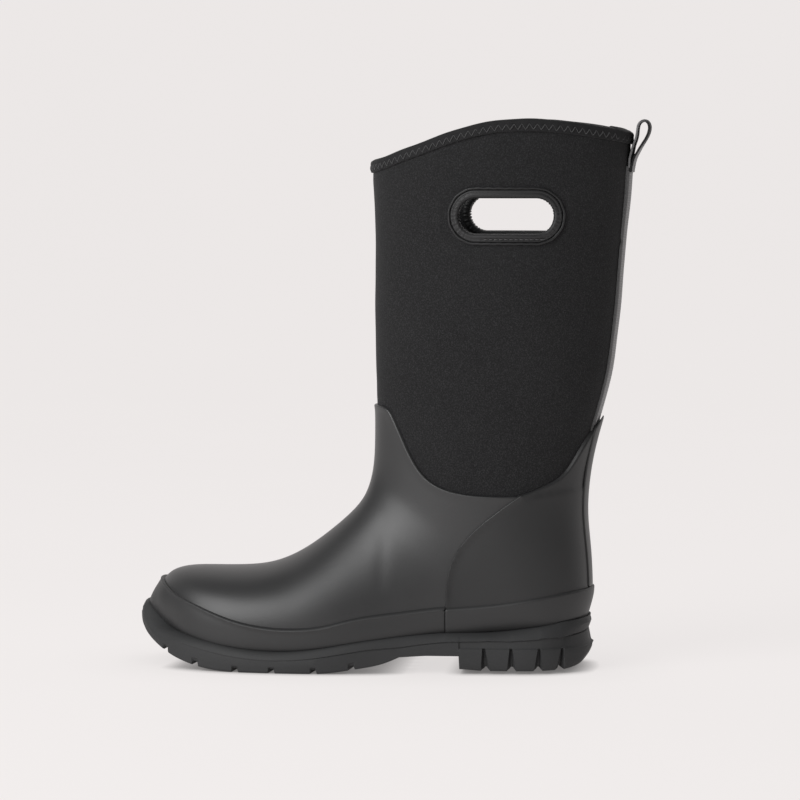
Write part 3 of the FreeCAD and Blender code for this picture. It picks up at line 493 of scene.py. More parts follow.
# ----------------------------------------------------------------- materials
class Graph:
    """Small helper for building a node material."""

    def __init__(self, name):
        self.mat = bpy.data.materials.new(name)
        self.mat.use_nodes = True
        self.t = self.mat.node_tree
        self.bsdf = self.t.nodes["Principled BSDF"]
        self.co = self.t.nodes.new("ShaderNodeTexCoord")

    def add(self, kind, **values):
        n = self.t.nodes.new(kind)
        for k, v in values.items():
            if k in n.inputs.keys():
                n.inputs[k].default_value = v
            else:
                setattr(n, k, v)
        return n

    def link(self, a, b):
        self.t.links.new(a, b)

    def noise(self, scale, detail=3.0, rough=0.55, stretch=(1, 1, 1), source="Object"):
        m = self.add("ShaderNodeMapping")
        m.inputs["Scale"].default_value = stretch
        self.link(self.co.outputs[source], m.inputs["Vector"])
        n = self.add("ShaderNodeTexNoise", Scale=scale, Detail=detail, Roughness=rough)
        self.link(m.outputs["Vector"], n.inputs["Vector"])
        return n.outputs["Fac"]

    def wave(self, axis, pitch, source="Object", distortion=0.0, profile="SIN"):
        """Bands this many metres apart along an axis."""
        n = self.add("ShaderNodeTexWave", wave_type="BANDS", bands_direction=axis, wave_profile=profile)
        n.inputs["Scale"].default_value = 2 * math.pi / pitch / 20.0
        n.inputs["Distortion"].default_value = distortion
        n.inputs["Detail Scale"].default_value = 3.0
        self.link(self.co.outputs[source], n.inputs["Vector"])
        return n.outputs["Fac"]

    def math(self, op, a, b=0.5, clamp=False):
        n = self.add("ShaderNodeMath", operation=op, use_clamp=clamp)
        for k, x in enumerate((a, b)):
            if isinstance(x, (int, float)):
                n.inputs[k].default_value = x
            else:
                self.link(x, n.inputs[k])
        return n.outputs[0]

    def ramp(self, fac, *stops):
        n = self.add("ShaderNodeValToRGB")
        e = n.color_ramp.elements
        while len(e) < len(stops):
            e.new(0.5)
        for k, (pos, c) in enumerate(stops):
            e[k].position = pos
            e[k].color = (c, c, c, 1) if isinstance(c, float) else (*c, 1)
        self.link(fac, n.inputs["Fac"])
        return n.outputs["Color"]

    def mix(self, fac, a, b, blend="MIX"):
        n = self.add("ShaderNodeMix", data_type="RGBA", blend_type=blend)
        for sock, x in ((n.inputs[0], fac), (n.inputs[6], a), (n.inputs[7], b)):
            if isinstance(x, (int, float)):
                sock.default_value = x
            elif isinstance(x, tuple):
                sock.default_value = (*x, 1) if len(x) == 3 else x
            else:
                self.link(x, sock)
        return n.outputs[2]

    def bump(self, height, distance, strength=1.0, under=None):
        n = self.add("ShaderNodeBump", Strength=strength, Distance=distance)
        self.link(height, n.inputs["Height"])
        if under is not None:
            self.link(under, n.inputs["Normal"])
        return n.outputs["Normal"]

    def finish(self, colour, rough, normal=None, sheen=0.0, sheen_rough=0.4, specular=0.5,
               sheen_tint=(1, 1, 1, 1), metallic=0.0, coat=0.0, coat_rough=0.3):
        for name, x in (("Base Color", colour), ("Roughness", rough), ("Normal", normal)):
            if x is None:
                continue
            if isinstance(x, (int, float)):
                self.bsdf.inputs[name].default_value = x
            elif isinstance(x, tuple):
                self.bsdf.inputs[name].default_value = (*x, 1)
            else:
                self.link(x, self.bsdf.inputs[name])
        self.bsdf.inputs["Sheen Weight"].default_value = sheen
        self.bsdf.inputs["Sheen Roughness"].default_value = sheen_rough
        self.bsdf.inputs["Sheen Tint"].default_value = sheen_tint
        self.bsdf.inputs["Specular IOR Level"].default_value = specular
        self.bsdf.inputs["Metallic"].default_value = metallic
        self.bsdf.inputs["Coat Weight"].default_value = coat
        self.bsdf.inputs["Coat Roughness"].default_value = coat_rough
        return self.mat


def neoprene_cloth(name, base, fleck, fleck_at=0.62):
    """Foam faced with fine heathered jersey."""
    g = Graph(name)
    grain = g.noise(2300, 1.0, 0.6)
    rows = g.noise(1400, 1.0, 0.5, (1, 1, 0.85))
    spots = g.math("MULTIPLY", g.math("ADD", grain, rows), 0.5)
    cloud = g.noise(22, 3.0, 0.5)
    c = g.ramp(spots, (0.36, base[0]), (0.52, base[1]), (fleck_at, fleck), (1.0, fleck))
    c = g.mix(0.05, c, g.ramp(cloud, (0.3, (0.0, 0.0, 0.0)), (0.7, (0.05, 0.05, 0.05))), "ADD")
    knit = g.math("ADD", g.wave("Z", 0.0007), g.noise(2600, 2.0))
    n = g.bump(knit, 0.00012, 0.5)
    n = g.bump(g.noise(60, 2.0), 0.0005, 0.15, n)
    return g.finish(c, 0.92, n, sheen=0.06, sheen_rough=0.5, specular=0.22)


def rubber(name, base, rough=(0.40, 0.50), grain=0.00002, coat=0.0, mottle=0.12, specular=0.5):
    """Moulded satin rubber: a faint orange peel, cloudy bloom and a few scuffs."""
    g = Graph(name)
    cloud = g.noise(16, 4.0, 0.6)
    fine = g.noise(700, 3.0, 0.6)
    c = g.mix(mottle, base, g.ramp(cloud, (0.25, tuple(x * 0.5 for x in base)), (0.75, tuple(min(1.0, x * 2.0) for x in base))))
    scuff = g.ramp(g.noise(90, 5.0, 0.7, (1, 1, 3)), (0.0, 0.0), (0.66, 0.0), (0.8, 1.0))
    c = g.mix(g.math("MULTIPLY", scuff, 0.10), c, tuple(min(1.0, x * 3.2) for x in base))
    r = g.ramp(g.math("ADD", g.math("MULTIPLY", cloud, 0.7), g.math("MULTIPLY", fine, 0.3)), (0.25, rough[0]), (0.75, rough[1]))
    n = g.bump(fine, grain * 6, 0.35)
    n = g.bump(g.noise(45, 2.0), 0.0005, 0.12, n)
    return g.finish(c, r, n, specular=specular, coat=coat)


def woven(name, light, dark, pitch, source="Object", axis="Z", edge=None, fade=None):
    """Ribbed narrow webbing; edge darkens its borders, out from the middle plane."""
    g = Graph(name)
    ribs = g.wave(axis, pitch, source)
    across = g.wave("Y" if source == "Object" else "X", pitch * 1.3, source)
    weave = g.math("MULTIPLY", ribs, g.math("ADD", g.math("MULTIPLY", across, 0.5), 0.5))
    c = g.mix(g.math("ADD", g.math("MULTIPLY", weave, 0.75), g.math("MULTIPLY", g.noise(800, 2.0), 0.25)), dark, light)
    if edge:
        sep = g.add("ShaderNodeSeparateXYZ")
        g.link(g.co.outputs["Object"], sep.inputs[0])
        off = g.math("ABSOLUTE", g.math("SUBTRACT", sep.outputs["Y"], MID * 0.001))
        rim = g.ramp(g.math("DIVIDE", off, edge[0]), (0.0, 0.0), (edge[1] - 0.02, 0.0), (edge[1] + 0.02, 1.0))
        c = g.mix(rim, c, edge[2])
    if fade:
        sep = g.add("ShaderNodeSeparateXYZ")
        g.link(g.co.outputs["UV"], sep.inputs[0])
        t = g.math("DIVIDE", g.math("SUBTRACT", sep.outputs["Y"], fade[0]), fade[1] - fade[0], True)
        c = g.mix(t, (0.014, 0.014, 0.0145), c)
    n = g.bump(weave, 0.0003, 0.7)
    return g.finish(c, 0.75, n, sheen=0.1, specular=0.3)


def plain_cloth(name, base, high, pitch=0.0008, rough=0.85, sheen=0.05, bump=0.5, specular=0.3):
    g = Graph(name)
    mixd = g.math("MULTIPLY", g.math("ADD", g.wave("Z", pitch), g.wave("DIAGONAL", pitch * 0.8)), 0.5)
    f = g.math("ADD", g.math("MULTIPLY", mixd, 0.6), g.math("MULTIPLY", g.noise(1200, 2.0), 0.4))
    c = g.ramp(f, (0.2, base), (0.9, high))
    n = g.bump(f, 0.00018, bump)
    return g.finish(c, rough, n, sheen=sheen, specular=specular)


def thread_look(name, base):
    g = Graph(name)
    twist = g.wave("DIAGONAL", 0.00045)
    c = g.ramp(twist, (0.0, tuple(x * 0.45 for x in base)), (1.0, base))
    return g.finish(c, 0.55, g.bump(twist, 0.0001, 0.6), specular=0.45)


def board_look(name):
    g = Graph(name)
    c = g.ramp(g.noise(400, 5.0, 0.7), (0.3, (0.16, 0.11, 0.07)), (0.7, (0.32, 0.24, 0.16)))
    return g.finish(c, 0.85, g.bump(g.noise(900, 3.0), 0.0001, 0.4))


def foam_look(name, a, b, cell=1400):
    g = Graph(name)
    f = g.noise(cell, 3.0, 0.6)
    return g.finish(g.ramp(f, (0.3, a), (0.7, b)), 0.9, g.bump(f, 0.0002, 0.6), specular=0.2)


def steel_look(name):
    g = Graph(name)
    f = g.noise(60, 4.0, 0.6, (1, 40, 40))
    return g.finish(g.ramp(f, (0.3, (0.33, 0.34, 0.35)), (0.7, (0.5, 0.51, 0.52))), 0.32, g.bump(f, 0.00002, 0.3), metallic=1.0)


M = {
    "neoprene": neoprene_cloth("neoprene_jersey", ((0.0085, 0.0085, 0.0091), (0.0135, 0.0135, 0.0141)), (0.029, 0.029, 0.0306)),
    "rubber": rubber("upper_rubber_satin", (0.027, 0.0272, 0.0278), (0.38, 0.47), specular=0.55),
    "quarter": rubber("heel_rubber_satin", (0.0185, 0.0187, 0.0192), (0.42, 0.52)),
    "foxing": rubber("foxing_rubber_satin", (0.0235, 0.0237, 0.0242), (0.46, 0.58)),
    "outsole": rubber("outsole_rubber_matte", (0.0265, 0.027, 0.0278), (0.56, 0.72), 0.00005, mottle=0.2, specular=0.4),
    "binding": plain_cloth("binding_cloth", (0.008, 0.008, 0.0085), (0.020, 0.020, 0.021)),
    "trim": plain_cloth("handle_trim_cloth", (0.012, 0.012, 0.0125), (0.022, 0.022, 0.023), 0.0006, 0.55, 0.02, 0.3, 0.45),
    "piping": plain_cloth("piping_cloth", (0.007, 0.007, 0.0075), (0.016, 0.016, 0.017), 0.0006, 0.5, 0.02, 0.35, 0.45),
    "lining": plain_cloth("lining_knit", (0.020, 0.020, 0.021), (0.045, 0.045, 0.047), 0.0013, 0.95, 0.12, 0.8),
    "lining_tape": plain_cloth("seam_tape_knit", (0.012, 0.012, 0.012), (0.03, 0.03, 0.03), 0.0009, 0.9, 0.05, 0.6),
    "thread": thread_look("sewing_thread", (0.062, 0.062, 0.064)),
    "tape": woven("webbing_grey", (0.34, 0.338, 0.34), (0.20, 0.20, 0.202), 0.0011, edge=(0.012, 0.80, (0.11, 0.11, 0.112))),
    "thread_light": thread_look("slot_thread", (0.10, 0.10, 0.102)),
    "tack": thread_look("bar_tack_thread", (0.36, 0.36, 0.362)),
    "loop_edge": woven("webbing_edge", (0.26, 0.258, 0.26), (0.14, 0.14, 0.142), 0.0009, "UV", "Y", fade=(0.036, 0.029)),
    "loop": woven("webbing_loop", (0.30, 0.298, 0.30), (0.17, 0.17, 0.172), 0.0011, "UV", "Y", fade=(0.047, 0.056)),
    "loop_in": woven("webbing_loop_inner", (0.022, 0.022, 0.023), (0.010, 0.010, 0.010), 0.0011, "UV", "Y"),
    "board": board_look("fibre_board"),
    "foam": foam_look("midsole_foam_cells", (0.10, 0.10, 0.10), (0.17, 0.17, 0.17)),
    "bed": foam_look("footbed_foam_cells", (0.03, 0.03, 0.032), (0.06, 0.06, 0.062)),
    "bed_cloth": plain_cloth("footbed_cloth", (0.03, 0.03, 0.032), (0.08, 0.08, 0.083), 0.0012, 0.9, 0.08, 0.8),
    "core": foam_look("heel_core_cells", (0.05, 0.05, 0.05), (0.09, 0.09, 0.09), 900),
    "steel": steel_look("shank_steel"),
    "puff": board_look("formed_board"),
}

# ------------------------------------------------------- side-view lines, mm
COLLAR = [(-24, 330.6), (-11.6, 333.2), (-3.0, 335.5), (8.4, 339.8), (19.4, 343.7),
          (30.2, 347.5), (40.8, 351.4), (51.3, 354.6), (61.7, 357.2), (72.0, 359.0),
          (82.3, 359.7), (102.6, 359.7), (112.7, 358.8), (122.8, 357.8), (132.8, 356.2),
          (142.7, 354.6), (152.5, 352.7), (157.2, 351.4), (170, 348.6)]
VAMP_TOP = [(-24, 173.6), (-10.2, 172.3), (-3.0, 171.1), (2.8, 163.7), (9.1, 150.9),
            (16.6, 136.8), (24.8, 126.7), (34.9, 120.5), (48.1, 116.9), (67.8, 115.3), (87.1, 115.3)]
QUARTER_TOP = [(87.0, 116.0), (96.7, 118.6), (106, 122.4), (112.4, 125.7), (116.8, 129.4),
               (124.8, 141.3), (138.7, 164.3), (146, 176.5)]
QUARTER_FRONT = [(38.8, 44.0), (39.0, 52), (40.5, 64.1), (46.9, 80.4), (58.1, 93.7), (74.3, 106.9), (87.0, 116.0)]
VAMP_BACK = [(52, 44.0), (52.4, 54), (54.5, 66), (61, 80.5), (72, 91), (86, 101), (98, 109)]
FOXING_TOP = [(-168, 58.5), (-156, 56.2), (-148, 51.5), (-128.5, 43.1), (-100.3, 33.2), (-74.7, 28.7),
              (-54.9, 28.4), (-41.9, 29.8), (-22.5, 34.4), (7.7, 38.8), (37.4, 42.1), (38.8, 42.2)]
HEEL_FOXING_TOP = [(38.8, 41.4), (69.3, 43.7), (99.7, 48.3), (116.7, 51.5), (132.4, 53.7), (142, 54.6)]
FEATHER = [(-175, 34), (-161.7, 33), (-156.7, 31.5), (-151.7, 28), (-146.7, 25.4), (-138.7, 22.2),
           (-129.7, 18.8), (-119.7, 16.3), (-105.7, 14.2), (-89.7, 13.1), (-72.7, 12.9),
           (-54.7, 13.3), (-36.7, 14.9), (-16.7, 16.9), (3.3, 19.8), (26.3, 22.8),
           (50.3, 25.2), (75.3, 26.7), (99.3, 27.2), (119.3, 28.4), (142, 30.5)]
OUTSOLE_TOP = [(-176, 46.5), (-166, 43.5), (-162, 38.5), (-156.5, 33), (-149.4, 27.3),
               (-138.1, 23.3), (-124, 20), (-100, 15.6), (-74.2, 13.7), (-47.9, 15.2),
               (-20.2, 19.7), (9.5, 23.6), (38.1, 26), (69.3, 26.6), (93.2, 29.3),
               (111.1, 32.4), (122.2, 35.6), (128.1, 37.5), (142, 41)]
OUTSOLE_BOTTOM = [(-170, 36), (-169.1, 32.5), (-168.3, 27.5), (-166.3, 22.8), (-162.3, 18.6),
                  (-157, 14.9), (-150, 11.2), (-141.7, 7.7), (-132.7, 4.7), (-121.7, 2.0), (-111, 0.5), (-103, 0)]
FOREFOOT_BACK = [(-44, 0), (-32.3, 0.9), (-21.7, 2.5), (-11.3, 4.1), (-2, 6.2), (4, 8.3)]
HEEL_BACK = [(115, 0), (121.5, 1.2), (126, 3.6), (129.3, 7.4), (131.8, 11.2), (133.4, 15.5)]
FOOTBED_TOP = [(-158, 43), (-148, 36), (-138.7, 32), (-129.7, 28.8), (-119.7, 26.2), (-105.7, 24), (-89.7, 23),
               (-72.7, 22.8), (-54.7, 23.3), (-36.7, 25), (-16.7, 27.2), (3.3, 30), (26.3, 33),
               (50.3, 35.3), (75.3, 36.9), (99.3, 37.4), (119.3, 38.6), (140, 40.5)]
OUTLINE = [(-168.9, 9.4), (-167.9, -3.2), (-163.2, -13.6), (-150.2, -29.6), (-139.1, -38.6),
           (-128.3, -44.5), (-117.7, -48.3), (-106.7, -51.4), (-96.7, -53.5), (-76.7, -56.0),
           (-56.7, -56.8), (-36.7, -55.9), (-16.7, -53.4), (3.3, -50.4), (23.3, -47.7),
           (43.3, -45.8), (63.3, -44.6), (83.3, -43.7), (98.3, -42.0), (108.3, -39.2),
           (116.3, -34.8), (123.3, -28.8), (128.8, -21.1), (132.1, -11.6), (133.0, 0.4),
           (132.1, 12.4), (128.8, 21.9), (123.3, 29.6), (116.3, 35.6), (108.3, 40.0),
           (98.3, 42.9), (83.3, 44.1), (63.3, 44.6), (43.3, 44.9), (23.3, 45.6),
           (3.3, 47.5), (-16.7, 50.5), (-36.7, 53.8), (-56.7, 55.9), (-76.7, 56.6),
           (-96.7, 56.1), (-106.7, 55.5), (-117.7, 54.7), (-128.3, 53.3), (-139.1, 50.4),
           (-150.2, 44.6), (-157.5, 38.4), (-163.2, 31.6), (-167.4, 20.5)]
collar_z = fn(COLLAR)
SIDE = lambda v: v[:, [3, 5]]
vamp_top, quarter_top = smooth(VAMP_TOP), smooth(QUARTER_TOP)
quarter_front, vamp_back = smooth(QUARTER_FRONT), smooth(VAMP_BACK)
foxing_top, heel_foxing_top, feather = smooth(FOXING_TOP, 260), smooth(HEEL_FOXING_TOP), smooth(FEATHER, 300)
front_feather = feather[feather[:, 0] < 26.3]
low_feather = feather - np.array([0, 2.4])
heel_feather = feather[feather[:, 0] > 39.5]

vamp_poly = np.vstack([front_feather, [(52, 25.3), (52, 44)], vamp_back, [(97, 115.3)], vamp_top[::-1],
                       [(-190, 173.6), (-190, 34)]])
quarter_poly = np.vstack([[(38.8, 44.0), (38.8, 24.1)], heel_feather, [(146, 60)], quarter_top[::-1], quarter_front[::-1]])
front_band_poly = np.vstack([foxing_top, [(38.8, 21.8)], low_feather[low_feather[:, 0] < 38.8][::-1], [(-190, 31), (-190, 58.5)]])
heel_band_poly = np.vstack([heel_foxing_top, heel_feather[::-1] - np.array([0, 2.2]), [(38.8, 21.8)]])


# -------------------------------------------------------------------- bootie
def above_slot(v):
    p = SIDE(v)
    rim = collar_z(p[:, 0]) - 1.2 - p[:, 1]
    e = stadium(p[:, 0], p[:, 1], 66.2, 27.6)
    return np.minimum(rim, np.where(p[:, 1] > 250, e, 99))


def foam_shape(v):
    p = v[:, 3:6]
    h = 0.30 * ripple(p, 60.0) + 0.10 * ripple(p + 50, 22.0)
    leg = ease(176, 190, p[:, 2])
    e = stadium(p[:, 0], p[:, 2], 76.4, 38.0)
    sink = -0.55 * np.exp(-((e - 1.6) / 1.7) ** 2) + 0.28 * np.exp(-((e - 5.5) / 3.0) ** 2)
    near = np.where(p[:, 2] > 250, 1.0, 0.0)
    rim = -0.35 * np.exp(-((collar_z(p[:, 0]) - p[:, 2] - 9.0) / 2.0) ** 2)
    return leg * (h * np.clip(e / 12, 0, 1) + near * sink + rim)


bootie = layer("neoprene_bootie_foam", np.concatenate([fine_rows(0, 14, 4), fine_rows(14, LAST - 0.7, 9)[1:]]),
               -5.0, 0.0, above_slot, M["neoprene"], radius=0, cap=True, shape=foam_shape)
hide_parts("neoprene_bootie")

lining = layer("lining_knit_sock", np.concatenate([fine_rows(0, 14, 3), fine_rows(14, LAST - 0.7, 5)[1:]]),
               -6.0, -5.02, above_slot, M["lining"], radius=0, cap=True, front=30, back=26,
               under=lambda v: -6.0 + 0.12 * ripple(v[:, :3], 18.0) * 0)
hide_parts("lining")


def strip_field(width, z0, z1, x0=60):
    def f(v):
        p = v[:, 3:6]
        g = np.minimum(width / 2 - np.abs(p[:, 1] - MID), np.minimum(p[:, 2] - z0, z1 - p[:, 2]))
        return np.where(p[:, 0] < x0, -9.0, g)
    return f


seam = layer("lining_seam_tape", fine_rows(17, LAST - 1.2, 5), -6.62, -6.02, strip_field(14, 76, 338), M["lining_tape"],
             radius=0, front=20, back=40)
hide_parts("inner_seam_tape")

# -------------------------------------------------------------------- rubber
vamp_rows = np.concatenate([fine_rows(0, 24.2, 9)])


def vamp_shape(v):
    p = v[:, 3:6]
    top = to_line(SIDE(v), vamp_top)
    lip = 0.35 * np.exp(-(top / 3.0) ** 2)
    crease = -0.22 * np.exp(-((p[:, 0] - (-3.5 + 0.02 * (p[:, 2] - 60))) / 4.5) ** 2) * ease(48, 62, p[:, 2]) * (1 - ease(84, 104, p[:, 2]))
    return lip + crease + 0.10 * ripple(p, 55.0)


vamp = layer("vamp_rubber_shell", vamp_rows, 0.0, 1.9, lambda v: inside(SIDE(v), vamp_poly), M["rubber"],
             radius=0.9, cap=True, shape=vamp_shape, bottom=0.03)
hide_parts("vamp_shell")

CREASE = smooth([(88.0, 113.0), (92.3, 114.6), (103.0, 116.9), (115.5, 118.6), (129.0, 118.7), (140, 118.4)], 60)
crease_z = line_fn(CREASE)


def quarter_shape(v):
    p = v[:, 3:6]
    up = p[:, 2] - crease_z(p[:, 0])
    step = -0.45 * ease(-0.6, 1.0, up) * ease(88, 96, p[:, 0]) * (1 - ease(6, 26, up))
    line = -0.30 * np.exp(-(up / 0.8) ** 2) * ease(88, 94, p[:, 0])
    front = 0.75 * np.exp(-((to_line(SIDE(v), quarter_front) - 0.6) / 1.1) ** 2)
    return step + line + front + 0.12 * ripple(p + 9, 50.0)


quarter = layer("heel_quarter_rubber", fine_rows(11, 25.4, 9), 0.0, 2.8, lambda v: inside(SIDE(v), quarter_poly),
                M["quarter"], radius=0.85, shape=quarter_shape, front=40, back=44,
                under=lambda v: np.where(inside(SIDE(v), vamp_poly) > 0.2, 1.92, 0.03))
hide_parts("heel_quarter")


def stay_field(v):
    p = v[:, 3:6]
    g = np.minimum(12.0 - np.abs(p[:, 1] - MID), inside(SIDE(v), quarter_poly))
    fz = line_fn(heel_foxing_top)
    return np.where(p[:, 0] < 60, -9.0, np.minimum(g, p[:, 2] - fz(p[:, 0])))


stay = layer("back_stay_rubber", fine_rows(16, 25.4, 9), 2.8, 3.6, stay_field, M["quarter"], radius=0.6, front=24, back=64,
             shape=lambda v: 0.12 * ripple(v[:, 3:6] + 9, 50.0), bottom=2.72)
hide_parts("back_stay")

def band_shape(v):
    p = v[:, 3:6]
    swell = 2.7 * (1 - ease(-166, -142, p[:, 0])) * (1 - ease(38.5, 53.5, p[:, 2]))
    lip = 0.55 * np.exp(-((to_line(SIDE(v), foxing_top) - 0.9) / 0.8) ** 2)
    return 0.10 * ripple(p + 31, 40.0) + swell + lip


band = layer("foxing_front_rubber", fine_rows(0, 17, 10), 1.9, 3.9, lambda v: inside(SIDE(v), front_band_poly), M["foxing"],
             radius=1.0, cap=True, front=44, back=44, shape=band_shape, bottom=1.8)
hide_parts("foxing_front")

heel_band = layer("foxing_heel_rubber", fine_rows(11, 21, 12), 2.8, 4.6, lambda v: np.where(v[:, 3] < 30, -9.0, inside(SIDE(v), heel_band_poly)),
                  M["foxing"], radius=0.9, front=44, back=44, bottom=0.2,
                  shape=lambda v: 0.10 * ripple(v[:, 3:6] + 77, 40.0) - 1.5 * ease(96, 134, v[:, 3]) * (1 - ease(37, 53, v[:, 5])))
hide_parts("foxing_heel")

def tree_of(points, tris):
    return BVHTree.FromPolygons([Vector(p) for p in points], [tuple(int(k) for k in f) for f in tris])


_v, _t = carrier(fine_rows(24, LAST, 5), 0.0, 1.4, 24, 64)
BACK = {0.0: tree_of(_v[:, :3], _t), 1.4: tree_of(_v[:, 3:6], _t)}


def back_x(y, z, h):
    """Where the back of the leg is, h out from the form, at y and z."""
    x = []
    for hh in (0.0, 1.4):
        hit = BACK[hh].ray_cast(Vector((260, float(y), float(z))), Vector((-1, 0, 0)))[0]
        x.append(hit.x if hit is not None else 150.0)
    return x[0] + (x[1] - x[0]) * h / 1.4


# ---------------------------------------------------------- webbing, back tape
def tape_field(v):
    p = v[:, 3:6]
    g = np.minimum(strip_field(22.4, 150, 329.6)(v), -inside(SIDE(v), quarter_poly))
    return g


tape = layer("back_webbing", fine_rows(20, LAST - 1.5, 10), 0.0, 1.4, tape_field, M["tape"], radius=0.45, front=24, back=64, bottom=0.03,
             shape=lambda v: 0.5 * ease(285, 312, v[:, 5]) + 0.16 * ripple(v[:, 3:6], 30.0) - 0.25 * ease(9.4, 11.6, np.abs(v[:, 4] - MID)))
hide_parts("back_tape")

# -------------------------------------------------------------- collar binding
COLS = 720
RIM = {h: grid(np.linspace(28.4, LAST - 0.15, 64), h, COLS // 4, COLS // 4) for h in (-7.6, 1.6)}


def rim_line(height, drop):
    """Points round the collar at a height on the form, drop below its edge."""
    f = (height + 7.6) / 9.2
    g = RIM[-7.6] * (1 - f) + RIM[1.6] * f
    miss = g[:, :, 2] - collar_z(g[:, :, 0].ravel()).reshape(g.shape[:2]) + drop
    k = np.clip(np.argmax(miss > 0, 0), 1, len(g) - 1)
    j = np.arange(COLS)
    a, b = miss[k - 1, j], miss[k, j]
    t = (-a / (b - a))[:, None]
    return g[k - 1, j] * (1 - t) + g[k, j] * t


top_rail, low_rail = rim_line(1.38, 3.2), rim_line(1.38, 6.9)
middle = (top_rail + low_rail) / 2
loop_len = np.concatenate([[0], np.cumsum(np.linalg.norm(np.roll(middle, -1, 0) - middle, axis=1))])
legs = int(loop_len[-1] / 2.5) // 2 * 2
corner_at = np.arange(legs) * loop_len[-1] / legs


def along(line, at):
    at = np.asarray(at) % loop_len[-1]
    return np.stack([np.interp(at, loop_len, np.append(line[:, k], line[0, k])) for k in range(3)], 1)


def dimples(at, drop):
    """How far the stitches pull the cloth in, along the rim and down from its edge."""
    out = np.zeros_like(at)
    step = loop_len[-1] / legs
    for parity, where in ((0, 3.2), (1, 6.9)):
        near = (np.round((at / step - parity) / 2) * 2 + parity) * step
        d = (at - near) / 0.8
        out += (0.5 if parity else 0.3) * np.exp(-d * d - ((drop - where) / 0.8) ** 2)
    return out


profile = [(0.03, 8.1), (0.35, 8.15), (0.75, 7.95), (1.02, 7.5), (1.05, 6.9), (1.1, 6.2), (1.22, 5.4), (1.25, 4.6), (1.15, 3.8), (1.08, 3.2),
           (1.15, 2.5), (1.12, 1.8), (0.9, 1.1), (0.45, 0.55), (-0.3, 0.2), (-1.4, 0.0), (-3.0, -0.05), (-4.8, 0.0), (-6.0, 0.25),
           (-6.8, 0.8), (-7.15, 1.6), (-7.2, 2.6), (-7.1, 3.4), (-7.2, 4.6), (-7.2, 5.8), (-7.1, 6.9), (-7.0, 7.6), (-6.6, 7.95),
           (-6.05, 7.8), (-6.02, 1.25), (0.0, 1.25)]
edge_at = loop_len[:-1]
mid_x, mid_y = middle[:, 0], middle[:, 1]
lap = ease(148.6, 149.8, mid_x) * (1 - ease(152.5, 157.0, mid_x) * 0.6) * (mid_y < MID + 30)
puff = 0.10 * np.sin(edge_at / 2.5 * math.pi / 2 * 1.0) + 0.08 * np.sin(edge_at / 7.3) + 0.06 * np.sin(edge_at / 3.1 + 1)
loops = []
for h, drop in profile:
    line = rim_line(h, drop)
    if drop > 0.15 and h not in (0.0, 0.03, -6.02, -6.05):
        sign = 1 if h > -3 else -1
        d = (puff - dimples(edge_at, drop) + 0.45 * lap) * sign
        line = line + (rim_line(1.6, drop) - rim_line(-7.6, drop)) / 9.2 * d[:, None]
    elif h < -0.2 and h > -6:
        line = line + np.array([0, 0, 1.0]) * (0.10 * np.sin(edge_at / 5.1) + 0.08 * np.sin(edge_at / 9.7) + 0.9 * lap)[:, None]
    loops.append(line)
v = np.array(loops)
n, m = v.shape[:2]
i, j = np.meshgrid(np.arange(n), np.arange(m), indexing="ij")
i, j = i.ravel(), j.ravel()
i2, j2 = (i + 1) % n, (j + 1) % m
binding = piece("collar_binding_cloth", v.reshape(-1, 3), np.stack([i * m + j, i * m + j2, i2 * m + j2, i2 * m + j], 1), M["binding"],
                smooth_angle=70)
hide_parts("collar_binding")

parts = []
for side_h, sign in ((1.12, 1), (-7.12, -1)):
    rails = [rim_line(side_h, 3.2), rim_line(side_h, 6.9)]
    out = (rim_line(1.6, 5.0) - rim_line(-7.6, 5.0)) / 9.2 * sign
    for k in range(legs):
        a = along(rails[k % 2], [corner_at[k]])[0]
        b = along(rails[(k + 1) % 2], [corner_at[(k + 1) % legs] if k + 1 < legs else loop_len[-1] - 1e-6])[0]
        if abs((a[1] + b[1]) / 2 - MID) < 12.6 and (a[0] + b[0]) / 2 > 100 and sign > 0:
            continue
        o = along(out, [corner_at[k] + 1.2])[0]
        o /= np.linalg.norm(o)
        t = np.linspace(0, 1, 9)
        lift = (0.52 if k % 2 else 0.30) * np.sin(math.pi * t) ** 0.55 - 0.24
        path = a + (b - a) * (0.02 + 0.96 * t)[:, None] + o * lift[:, None]
        parts.append(tube(path, 0.33 if k % 2 else 0.27, 7, up=np.tile(o, (9, 1))))
v, f = joined(parts)
stitches = piece("collar_zigzag_thread", v, f, M["thread"], smooth_angle=60)
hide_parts("collar_stitching")

# --------------------------------------------------------------- hand slots
HALF_SLOT, R_SLOT = 19.3, 11.5


def slot_ring(count=220, mean=13.0):
    """Angle-like places round a long hole: straight runs and two round ends."""
    run, arc = 2 * HALF_SLOT, math.pi * mean
    s = np.linspace(0, 2 * (run + arc), count, endpoint=False)
    cx, cz, nx, nz = (np.zeros(count) for _ in range(4))
    a = s < run
    cx[a], nz[a] = -HALF_SLOT + s[a], 1
    b = (s >= run) & (s < run + arc)
    t = (s[b] - run) / mean
    cx[b], nx[b], nz[b] = HALF_SLOT, np.sin(t), np.cos(t)
    c = (s >= run + arc) & (s < 2 * run + arc)
    cx[c], nz[c] = HALF_SLOT - (s[c] - run - arc), -1
    d = s >= 2 * run + arc
    t = (s[d] - 2 * run - arc) / mean
    cx[d], nx[d], nz[d] = -HALF_SLOT, -np.sin(t), -np.cos(t)
    return s, cx, cz, nx, nz


def on_side(x, z, h, sign):
    w, yc = side_y(x, z, h)
    return np.stack([x, yc + sign * w, z], 1)


